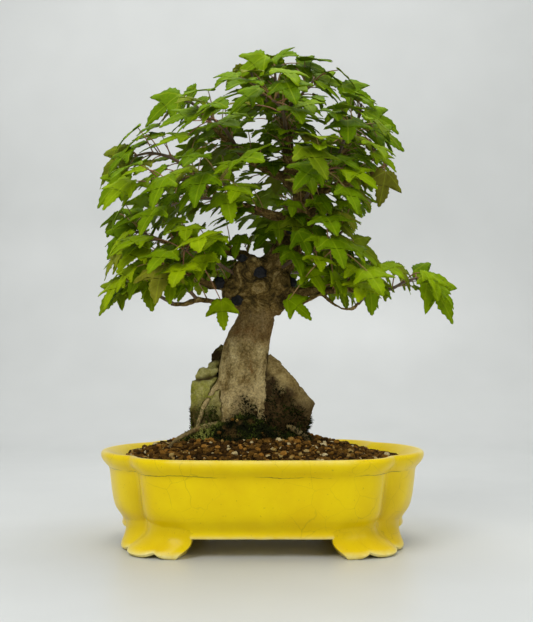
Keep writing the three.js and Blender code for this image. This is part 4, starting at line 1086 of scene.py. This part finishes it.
# The limbs of the wood: radius at the thick end, at the thin end, and points along the middle.
LIMBS = [
    (16, 10.5, [(2, 0, 236), (14, 0, 256), (30, -2, 281), (38, -1, 300), (40, 0, 318), (35, 2, 335)]),
    (9, 3, [(33, 2, 330), (26, 2, 352), (23, 2, 373), (21, 2, 391), (16, 0, 402)]),
    (6, 2.3, [
        (-10, -4, 222), (-28, -10, 217), (-42, -14, 216), (-48, -16, 222), (-60, -18, 222),
        (-74, -20, 217), (-85, -20, 217),
    ]),
    (7, 2, [
        (-18, 0, 236), (-44, -2, 237), (-58, -4, 236), (-64, -4, 243), (-71, -2, 253), (-82, 0, 268),
    ]),
    (7, 2, [
        (2, 4, 254), (-26, 10, 268), (-50, 14, 276), (-77, 18, 275), (-95, 15, 277), (-106, 10, 284),
    ]),
    (6, 2, [
        (33, -2, 296), (4, -5, 302), (-21, -6, 310), (-45, -8, 320), (-60, -8, 334), (-72, -8, 349),
    ]),
    (6, 2, [(30, 4, 335), (6, 8, 344), (-12, 8, 355), (-27, 8, 367), (-46, 6, 385), (-59, 4, 403)]),
    (6, 2, [
        (36, -4, 326), (54, -10, 322), (70, -14, 327), (93, -16, 334), (104, -16, 340),
        (116, -16, 347),
    ]),
    (6, 2, [(34, 4, 335), (50, 10, 342), (63, 14, 346), (74, 18, 358), (83, 20, 376), (89, 18, 393)]),
    (6, 2, [(32, -4, 288), (47, -12, 286), (58, -16, 278), (64, -18, 275)]),
    (6.5, 2, [
        (4, -4, 236), (20, -12, 230), (34, -16, 228), (50, -19, 230), (64, -20, 230), (87, -20, 231),
        (96, -20, 228), (108, -20, 228),
    ]),
    (2.6, 1.7, [(64, -20, 230), (76, -14, 235), (82, -8, 242), (89, -2, 249)]),
    (2.6, 1.8, [
        (52, -19, 230), (57, -23, 224), (63, -27, 218), (75, -32, 212), (82, -36, 213), (88, -39, 219),
    ]),
    (4.2, 2.2, [(6, -8, 214), (14, -18, 215), (34, -27, 218), (47, -24, 224), (56, -20, 230)]),
]
# Callus lumps of the crown: x, y, z and radius along X.
CALLUS = [
    (-6, 0, 234, 28), (-25, -4, 229, 13), (15, -3, 236, 15), (-12, -8, 250, 17), (11, 3, 254, 17),
    (10, -9, 217, 11), (32, 0, 333, 15),
]
# Trunk sections: height, middle x and half width.
TRUNK_SECTIONS = [
    (108, -15, 16), (124, -15.5, 19), (134, -15.5, 22.5), (144, -16.4, 24.6), (154, -17.2, 25),
    (163, -17.5, 23.6), (172, -16.9, 22.3), (182, -14.8, 22), (193, -11, 20.4), (202, -7.2, 18),
    (213, -5, 16.5), (226, -4, 17),
]
# Shoots: name, number of leaves by rule, stem points, and lead leaves as [base, tip].
SHOOTS = [
    ("left_low", 4, [(-80, -20, 217), (-96, -22, 226), (-108, -24, 235), (-121, -22, 238)],
     [((-124, -22, 237), (-153, -25, 211)), ((-103, -30, 243), (-99, -52, 213))]),
    ("left_low_front", 4, [(-60, -18, 222), (-70, -36, 234), (-80, -54, 246), (-88, -66, 250)], []),
    ("left_stub", 4, [(-78, -1, 262), (-92, -18, 260), (-104, -34, 257), (-112, -46, 254)], []),
    ("left_mid", 3, [(-102, 12, 281), (-114, 8, 286), (-124, 4, 287)],
     [((-124, -2, 290), (-149, -4, 264)), ((-112, 14, 303), (-148, 12, 292))]),
    ("left_up", 4, [(-68, -8, 343), (-85, -14, 353), (-103, -18, 356), (-117, -20, 353)],
     [((-122, -17, 360), (-153, -17, 333)), ((-122, -26, 336), (-154, -28, 309))]),
    ("left_up_low", 4, [(-55, -8, 329), (-66, -30, 330), (-80, -50, 324), (-90, -64, 316)], []),
    ("upper_left", 3, [(-56, 4, 399), (-68, 2, 408), (-80, 0, 408)],
     [((-76, -6, 413), (-112, -10, 388)), ((-62, 4, 421), (-84, 22, 404))]),
    ("apex_left", 3, [(21, 1, 391), (7, -9, 402), (-6, -13, 419), (-11, -15, 433)],
     [((3, -16, 446), (-26, -22, 427))]),
    ("apex", 3, [(17, 0, 399), (14, 2, 414), (12, 4, 430), (12, 4, 442)],
     [((10, 0, 448), (30, -22, 450)), ((32, 10, 447), (64, 12, 442))]),
    ("apex_right", 3, [(18, 0, 397), (30, 6, 409), (42, 10, 423), (50, 12, 432)],
     [((50, 16, 433), (84, 14, 428))]),
    ("upper_right", 2, [(88, 18, 390), (92, 14, 399), (93, 8, 408)],
     [((74, 4, 424), (108, -4, 406)), ((95, 0, 398), (130, -2, 384))]),
    ("right_up", 3, [(113, -16, 345), (110, -19, 357), (106, -22, 368)],
     [((98, -24, 376), (132, -24, 362)), ((112, -26, 338), (107, -28, 306))]),
    ("right_mid", 2, [(62, -17, 276), (70, -22, 281), (75, -26, 286)],
     [((60, -34, 298), (84, -40, 279)), ((82, -14, 276), (112, -8, 260))]),
    ("right_low", 3, [(104, -20, 228), (119, -22, 232), (130, -24, 238), (141, -26, 241)],
     [((148, -28, 240), (178, -31, 203)), ((138, -17, 247), (172, -14, 240))]),
    ("right_low_up", 4, [(86, -4, 246), (94, 10, 250), (100, 24, 252)], []),
    ("right_low_down", 2, [(86, -38, 217), (92, -44, 224), (97, -52, 230)],
     [((94, -52, 238), (98, -60, 207))]),
    ("front_low_left", 4, [(-26, -8, 246), (-44, -34, 256), (-58, -54, 262), (-68, -66, 262)],
     [((-37, -35, 221), (-35, -41, 194))]),
    ("front_low_right", 4, [(14, -6, 250), (34, -32, 260), (52, -50, 264), (64, -62, 264)],
     [((22, -42, 221), (45, -48, 205))]),
    ("front_mid_left", 5, [(-20, -6, 309), (-28, -34, 316), (-34, -62, 320), (-38, -82, 320)], []),
    ("front_mid_right", 5, [(38, -4, 312), (44, -36, 322), (50, -66, 328), (54, -84, 328)], []),
    ("front_top_left", 4, [(-22, 8, 363), (-32, -22, 374), (-40, -48, 378), (-46, -66, 376)], []),
    ("front_top", 5, [(23, 2, 374), (19, -32, 388), (13, -56, 392), (9, -72, 390)], []),
    ("front_top_right", 4, [(70, 16, 353), (74, -14, 366), (78, -40, 372), (80, -56, 370)], []),
    ("back_low_left", 4, [(-14, 10, 250), (-36, 46, 256), (-56, 74, 258), (-66, 88, 256)], []),
    ("back_low_right", 4, [(14, 12, 250), (38, 46, 252), (60, 72, 252), (72, 86, 250)], []),
    ("back_mid", 4, [(39, 4, 312), (30, 44, 322), (24, 76, 326), (20, 94, 324)], []),
    ("back_mid_left", 5, [(-36, -6, 316), (-60, 30, 322), (-80, 58, 324), (-92, 74, 322)], []),
    ("back_mid_right", 5, [(60, -11, 323), (84, 28, 328), (100, 54, 328), (108, 68, 324)], []),
    ("back_top_left", 4, [(-14, 8, 356), (-28, 42, 374), (-40, 66, 380), (-46, 80, 378)], []),
    ("back_top", 4, [(22, 2, 383), (18, 34, 402), (14, 56, 408), (10, 70, 406)], []),
    ("back_top_right", 4, [(62, 14, 345), (64, 46, 366), (68, 70, 374), (70, 84, 372)], []),
]


def leaf_rise(x, y):
    return LEAF_FOLD * np.abs(x) - LEAF_ARCH * y * y - LEAF_DROOP * x * x


def leaf_points(leaf, x, y, lift):
    """Points of a leaf's blade, for arrays of leaf coordinates."""
    across = np.cross(leaf["along"], leaf["normal"])
    length = leaf["length"]
    return (leaf["base"] + np.outer(x * length, across) + np.outer(y * length, leaf["along"])
            + np.outer(leaf_rise(x, y) * length + lift, leaf["normal"]))


def probes_along(points, spacing=5):
    line = []
    for a, b in zip(points[:-1], points[1:]):
        a, b = vector(a), vector(b)
        steps = math.ceil(np.linalg.norm(b - a) / spacing)
        line.extend(a + (b - a) * (j / steps) for j in range(steps))
    return [*line, vector(points[-1])]


class Room:
    """Points with radii that the leaves placed later keep clear of."""

    def __init__(self):
        self.points = []
        self.radii = []

    def add(self, points, radii):
        self.points.extend(points)
        self.radii.extend(radii if isinstance(radii, list) else [radii] * len(points))

    def near(self, points, clearance):
        if not self.points:
            return False
        gaps = np.linalg.norm(np.array(self.points)[None] - np.array(points)[:, None], axis=2)
        return bool((gaps < np.array(self.radii)[None] + clearance).any())


def wood_room():
    """The room that the limbs, the crown, the trunk and the twigs take."""
    room = Room()
    for first, last, points in LIMBS:
        line = probes_along(points)
        room.add(line, [first + (last - first) * i / len(line) for i in range(len(line))])
    for x, y, z, radius in CALLUS:
        room.add([vector([x, y, z])], radius)
    for z, x, half in TRUNK_SECTIONS:
        room.add([vector([x, 0, z])], half)
    for _, _, stem, _ in SHOOTS:
        room.add(probes_along(stem[1:]), TWIG_ROOM)
    return room


def stem_point(stem, share):
    turn = share * (len(stem) - 1)
    i = min(len(stem) - 2, int(turn))
    a, b = vector(stem[i]), vector(stem[i + 1])
    return a + (b - a) * (turn - i), unit(b - a)


def try_leaf(stem, share, turn, draw, further):
    """A leaf that hangs outward from a place on a stem; later tries have a longer stalk."""
    draws = [draw() - 0.5 for _ in range(8)]
    point, along = stem_point(stem, share)
    side = unit(np.cross(along, UP))
    over = np.cross(side, along)
    out = unit(point - CANOPY_CENTRE)
    stalk = unit(side * math.cos(turn) + over * math.sin(turn) + along * 0.55 + out * 0.35
                 + np.array([draws[0], draws[1], 0.35 + draws[2] * 0.8]))
    base = point + stalk * (STALK_LENGTH + 20 * draws[3] + further)
    away = unit(base - CANOPY_CENTRE)
    droop = 0.5 - 0.32 * away[2] + 0.7 * draws[4]
    level = np.array([away[0] + 0.6 * stalk[0] + draws[5] * 1.4,
                      away[1] + 0.6 * stalk[1] + draws[6] * 1.4, 0.0])
    direction = unit(level) * math.cos(droop) - UP * math.sin(droop)
    light = LIGHT_LEAN if base[1] < LIGHT_LIMIT else 0
    normal = np.array([away[0] * 0.5, away[1] * 0.5 - light, 1]) + side * draws[7] * 0.6
    normal = unit(normal - direction * normal.dot(direction))
    length = LEAF_MIN + (LEAF_MAX - LEAF_MIN) * (draws[2] + draws[5] + 1) * 0.5
    return {"root": point, "base": base, "along": direction, "normal": normal, "length": length}


def lead_leaf(stem, base, tip):
    """A leaf placed as given, facing the viewer and up."""
    base, tip = vector(base), vector(tip)
    along = unit(tip - base)
    away = unit(base - CANOPY_CENTRE)
    normal = np.array([away[0] * 0.25, -0.85, 0.7])
    normal = unit(normal - along * normal.dot(along))
    last, before = vector(stem[-1]), vector(stem[-2])
    return {"root": last + (before - last) * 0.12, "base": base, "along": along, "normal": normal,
            "length": float(np.linalg.norm(tip - base))}


def outside(points):
    """Whether any point, seen from the eye, lies outside the canopy's outline or over the crown."""
    scale = EYE[1] / (EYE[1] - points[:, 1])
    x = EYE[0] + (points[:, 0] - EYE[0]) * scale
    z = EYE[2] + (points[:, 2] - EYE[2]) * scale
    left, right, top = CROWN_WINDOW
    heights, lefts, rights = vector(CANOPY_OUTLINE).T
    places, hem = vector(CANOPY_HEM).T
    return bool(np.any([
        (points[:, 1] < 0) & (x > left) & (x < right) & (z < top),
        (z < heights[0]) | (z >= heights[-1]), (x < places[0]) | (x >= places[-1]),
        (x < np.interp(z, heights, lefts)) | (x > np.interp(z, heights, rights)),
        z < np.interp(x, places, hem),
    ]))


def probes_of(leaf):
    return leaf_points(leaf, *LEAF_PROBES.T, 0)


def grow_leaves():
    """The leaves of every shoot, placed as in the solids; also the room that they take."""
    hard = wood_room()
    blades = Room()
    stalks = Room()
    placed = [[lead_leaf(stem, *ends) for ends in leads] for _, _, stem, leads in SHOOTS]

    def keep(leaf):
        blades.add(list(probes_of(leaf)), 0.0)
        stalks.add(probes_along([leaf["root"], leaf["base"]])[1:-1], STALK_ROOM)

    for leaves in placed:
        for leaf in leaves:
            keep(leaf)
    for number, (_, count, stem, _) in enumerate(SHOOTS):
        draw = random_from(LEAF_SEED * 1000 + number)
        for i in range(count):
            share = LAST_SHARE if i == count - 1 else 0.97 - 0.13 * (i // 2) - 0.03 * (i % 2)
            turn = math.pi * (i % 2) + (math.pi / 2) * ((i // 2) % 2) * 0.6
            for attempt in range(LEAF_TRIES):
                leaf = try_leaf(stem, share, turn, draw, attempt / 4)
                points = probes_of(leaf)
                stalk = probes_along([leaf["root"], leaf["base"]])[2:]
                taken = (outside(points) or hard.near(points, WOOD_CLEARANCE)
                         or blades.near(points, LEAF_CLEARANCE) or stalks.near(points, WOOD_CLEARANCE)
                         or stalk and blades.near(stalk, WOOD_CLEARANCE + 1))
                if not taken:
                    placed[number].append(leaf)
                    keep(leaf)
                    break
    return placed, (hard, blades, stalks)


FILL_CLEARANCE = 4
FILL_WOOD_CLEARANCE = 2.5
FILL_STALK_CLEARANCE = 2
FILL_TRIES = 44
FILL_BOX = (CAD_LOW + 1.5, CAD_HIGH - 1.5)


def fill_leaves(count, stem, room, draw, size, start):
    """Smaller leaves between the others, as many of the count as there is room for."""
    hard, blades, stalks = room
    smallest, spread = size
    leaves = []
    for _ in range(count):
        smaller = smallest + spread * draw()
        for attempt in range(FILL_TRIES):
            share = start + (LAST_SHARE - start) * draw()
            leaf = try_leaf(stem, share, draw() * 2 * math.pi, draw, attempt / 5)
            leaf["length"] *= smaller
            points = probes_of(leaf)
            taken = (outside(points) or (points < FILL_BOX[0]).any() or (points > FILL_BOX[1]).any()
                     or hard.near(points, FILL_WOOD_CLEARANCE) or blades.near(points, FILL_CLEARANCE)
                     or stalks.near(points, FILL_STALK_CLEARANCE))
            if not taken:
                blades.add(list(points), 0.0)
                leaves.append(leaf)
                break
    return leaves


# The CAD model's box, a little drawn in: no blade leaves it.
LEAF_BOX = (CAD_LOW + 0.3, CAD_HIGH - 0.3)
# Half of the fine leaf's outline, from its base to its tip, before the teeth.
LEAF_CURVE = [
    (0, 0.0), (0.08, -0.03), (0.18, -0.025), (0.27, 0.04), (0.35, 0.15), (0.43, 0.3), (0.56, 0.52),
    (0.4, 0.45), (0.27, 0.41), (0.165, 0.44), (0.185, 0.53), (0.185, 0.64), (0.145, 0.77), (0.075, 0.9),
    (0, 1.0),
]
SIDE_TIP = 12  # place of the side lobe's tip on the smoothed curve
TOOTH = 0.02
RING_SHARES = (1.0, 0.7, 0.36)
HEART = np.array([0.0, 0.4])
BLADE_THICKNESS = 0.45
SIDE_VEIN = (0.772, 0.636)  # direction of the side lobe's vein


def leaf_outline():
    """The whole toothed outline, anticlockwise from the base."""
    half = smooth_path([(x, y, 0) for x, y in LEAF_CURVE], 2)[:, :2]
    toothed = half.copy()
    for i in range(2, len(half) - 1):
        if i != SIDE_TIP:
            along = unit(half[i + 1] - half[i - 1])
            toothed[i] += np.array([along[1], -along[0]]) * (TOOTH if i % 2 else -TOOTH * 0.6)
    return np.concatenate([toothed, toothed[1:-1][::-1] * [-1, 1]])


def leaf_template():
    """Leaf coordinates and faces for a closed two-sided blade."""
    outline = leaf_outline()
    count = len(outline)
    flat = np.concatenate([*(HEART + (outline - HEART) * share for share in RING_SHARES), [HEART]])
    size = len(flat)
    last = size - 1 - count
    faces = ring_faces(len(RING_SHARES), count, closed_ends=False)
    faces.extend([last + j, last + k, size - 1] for j, k in ring_pairs(count))
    below = [[size + k for k in face[::-1]] for face in faces]
    rim = [[k, j, size + j, size + k] for j, k in ring_pairs(count)]
    return flat, faces + below + rim


LEAF_FLAT, LEAF_FACES = leaf_template()


def blade_points(leaf, draw):
    """The corners of one blade: both skins, with a wave along the edge and a curled tip."""
    x, y = LEAF_FLAT.T
    from_heart = np.hypot(x, y - HEART[1])
    angle = np.arctan2(x, y - HEART[1])
    phase = draw() * 2 * math.pi
    wave = 0.022 * np.sin(5 * angle + phase) * np.clip(from_heart / 0.5, 0, 1) ** 2
    curl = -(0.05 + 0.16 * draw()) * np.clip(y - 0.62, 0, 1) ** 2
    off_vein = np.minimum(np.abs(x), np.abs(x * SIDE_VEIN[1] - y * SIDE_VEIN[0]))
    ribs = 0.010 * np.cos(off_vein * 40)
    extra = (wave + curl + ribs * (from_heart > 0.01)) * leaf["length"]
    top = leaf_points(leaf, x, y, extra + BLADE_THICKNESS / 2)
    bottom = leaf_points(leaf, x, y, extra - BLADE_THICKNESS / 2)
    return np.concatenate([top, bottom])


BRONZE_LEAF = np.array([112, -26, 338])  # base of the one leaf that has turned brown
BRONZE_REACH = 6
BRONZE_TONE = (0.4, 1.0)
CANOPY_SIZE = np.array([160, 120, 150])  # half its width, depth and height


def leaf_tone(leaf, draw):
    """Lightness and bronzing of a leaf; painted light makes the low front and the outside the
    brightest.
    """
    base = leaf["base"]
    out = np.linalg.norm((base - CANOPY_CENTRE) / CANOPY_SIZE)
    low = (330 - base[2]) / 160
    # Painted light: lower, further front and further out is lighter; the random share is each leaf's
    # own tone.
    tone = 0.38 + 0.22 * (out - 0.7) + 0.22 * low + 0.10 * (-base[1] / 100) + 0.42 * (draw() - 0.5)
    bronze = draw()
    turned = np.linalg.norm(base - BRONZE_LEAF) < BRONZE_REACH
    return BRONZE_TONE if turned else (clamp(tone), bronze)


def petiole_path(leaf, draw):
    """From the twig to a little inside the blade's base, with a slight bow."""
    end = leaf_points(leaf, np.array([0.0]), np.array([0.07]), 0)[0]
    start = leaf["root"]
    middle = (start + end) / 2 + UP * np.linalg.norm(end - start) * (0.05 + 0.09 * draw())
    return smooth_path([start, middle, end], 4)


def build_leaves(name, leaves, draw):
    batch = Batch()
    for leaf in leaves:
        corners = np.clip(blade_points(leaf, draw), *LEAF_BOX)
        tone = leaf_tone(leaf, draw)
        batch.add(corners, LEAF_FACES, (*tone, 0, 1), (*tone, 0, 0))
    obj = batch.build(name, "tone")
    spots = np.tile(LEAF_FLAT, (2 * len(leaves), 1))
    corner_of = np.empty(len(obj.data.loops), dtype=np.int32)
    obj.data.loops.foreach_get("vertex_index", corner_of)
    obj.data.uv_layers.new(name="leaf").data.foreach_set("uv", spots[corner_of].ravel())
    return obj


STEM_STEPS = 5  # points between two joints of a twig
JOINT_SWELL = 1.16


def tapered(path, thick, less):
    """Radii along a path, from thick to less by the given amount."""
    return [thick - less * i / (len(path) - 1) for i in range(len(path))]


def build_stalks(name, stem, leaves, draw):
    """The petioles, and the twig that carries them where a stem is given."""
    batch = Batch()
    if stem:
        path = smooth_path(stem, STEM_STEPS)
        # The twig is a little thicker at its joints.
        swell = [radius * (JOINT_SWELL if i % STEM_STEPS == 0 and i else 1)
                 for i, radius in enumerate(tapered(path, 1.75, 0.75))]
        batch.add(*tube(path, swell, 8), (0.25 + 0.2 * draw(), 0, 0, 1))
    for leaf in leaves:
        path = petiole_path(leaf, draw)
        batch.add(*tube(path, tapered(path, 0.62, 0.2), 6), (0.5 + 0.5 * draw(), 0, 0, 1))
    return batch.build(name, "stalk")


FILL_SEED = 6060
FILL_PER_SHOOT = 8
FILL_PER_LIMB = 24
FILL_PER_LOW_LIMB = 4
FILL_ON_LEADER = 46  # round the two limbs that carry the top of the tree
LEADER_RADIUS = 8
LOW_LIMB = 255  # limbs that end below this height are the lowest ones, which stay in view


def build_canopy(leaf_look, stalk_look):
    placed, room = grow_leaves()
    draw = random_from(FILL_SEED)

    def build(place, name, stem, leaves, nodes=()):
        blades = build_leaves(f"{place}leaves_{name}", leaves, draw)
        finish_piece(blades, leaf_look, nodes)
        stalks = build_stalks(f"{place}stalks_{name}", stem, leaves, draw)
        finish_piece(stalks, stalk_look, nodes)

    for (name, _, stem, _), leaves in zip(SHOOTS, placed):
        leaves += fill_leaves(FILL_PER_SHOOT, stem, room, draw, (0.62, 0.3), 0.25)
        build("", name, stem, leaves, [f"shoot_{name}"])
    for number, (thick, _, points) in enumerate(LIMBS, 1):
        low = max(z for _, _, z in points) < LOW_LIMB
        wanted = FILL_PER_LOW_LIMB if low else FILL_PER_LIMB
        if thick > LEADER_RADIUS:
            wanted = FILL_ON_LEADER
        leaves = fill_leaves(wanted, points, room, draw, (0.55, 0.35), 0.02)
        if leaves:
            build("inner_", number, None, leaves)


# ---- the object ----

build_pot(glaze_material())
build_soil(grain_material())
build_moss(moss_material())
wood = displaced(refined("tree_wood", "trunk", 1.5, 6), bark_depth)
finish_piece(wood, bark_material(), ["trunk"])
build_rock(rock_material())
paste = paste_material()
for number, seal in enumerate(SEALS, 1):
    piece = displaced(refined(f"paste_{number}", seal, 0.45, 4), seal_depth)
    finish_piece(piece, paste, [seal])
plastic = plastic_material()
for side in ("left", "right"):
    dress(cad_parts[f"drain_screen_{side}"], plastic)
build_canopy(leaf_material(), stalk_material())

# ---- stage, light and camera ----

PHOTO_HEIGHT = 622
FOCAL_PIXELS = 1007  # focal length in photo pixels
HORIZON = 360  # the photo's row at the camera's height
SENSOR = 36
LIGHT_AIM = Vector((0, 0, 0.2))
BEND_STEPS = 12


def build_stage():
    """A floor that bends up behind the object."""
    width, front, back, height, bend = 3000, -1500, 900, 2200, 500
    curve = [(front, 0), (back, 0)]
    for step in range(1, BEND_STEPS + 1):
        angle = math.pi / 2 * step / BEND_STEPS
        curve.append((back + bend * math.sin(angle), bend * (1 - math.cos(angle))))
    curve.append((back + bend, height))
    points = [[side * width, y, z] for y, z in curve for side in (-1, 1)]
    faces = [[2 * i, 2 * i + 1, 2 * i + 3, 2 * i + 2] for i in range(len(curve) - 1)]
    floor = make_object("floor", points, faces)
    dress(floor, floor_material())


def area_light(name, at, size, power):
    """A round light aimed at the tree; place and size are in metres."""
    light = bpy.data.lights.new(name, "AREA")
    light.shape = "DISK"
    light.size = size
    light.energy = power
    obj = linked(name, light)
    obj.location = at
    obj.rotation_euler = (LIGHT_AIM - Vector(at)).to_track_quat("-Z", "Y").to_euler()


def build_camera():
    camera = bpy.data.cameras.new("camera")
    camera.sensor_width = SENSOR
    camera.lens = SENSOR * FOCAL_PIXELS / PHOTO_HEIGHT
    camera.shift_y = (HORIZON - PHOTO_HEIGHT / 2) / PHOTO_HEIGHT
    camera.clip_end = 20
    obj = linked("camera", camera)
    obj.location = (vector(EYE) + POT_CENTRE) / 1000
    obj.rotation_euler = (math.pi / 2, 0, 0)
    bpy.context.scene.camera = obj


build_stage()
area_light("key", (-0.9, -1.3, 1.6), 1.2, 20)
area_light("fill", (1.4, -1.2, 0.9), 1.4, 7)
area_light("top", (0.1, 0.3, 1.9), 1.4, 22)
world = bpy.data.worlds.new("studio")
world.use_nodes = True
background = world.node_tree.nodes["Background"].inputs
background["Color"].default_value = (0.92, 0.93, 0.92, 1)
background["Strength"].default_value = 0.5
bpy.context.scene.world = world
bpy.context.scene.view_settings.view_transform = "Standard"
build_camera()
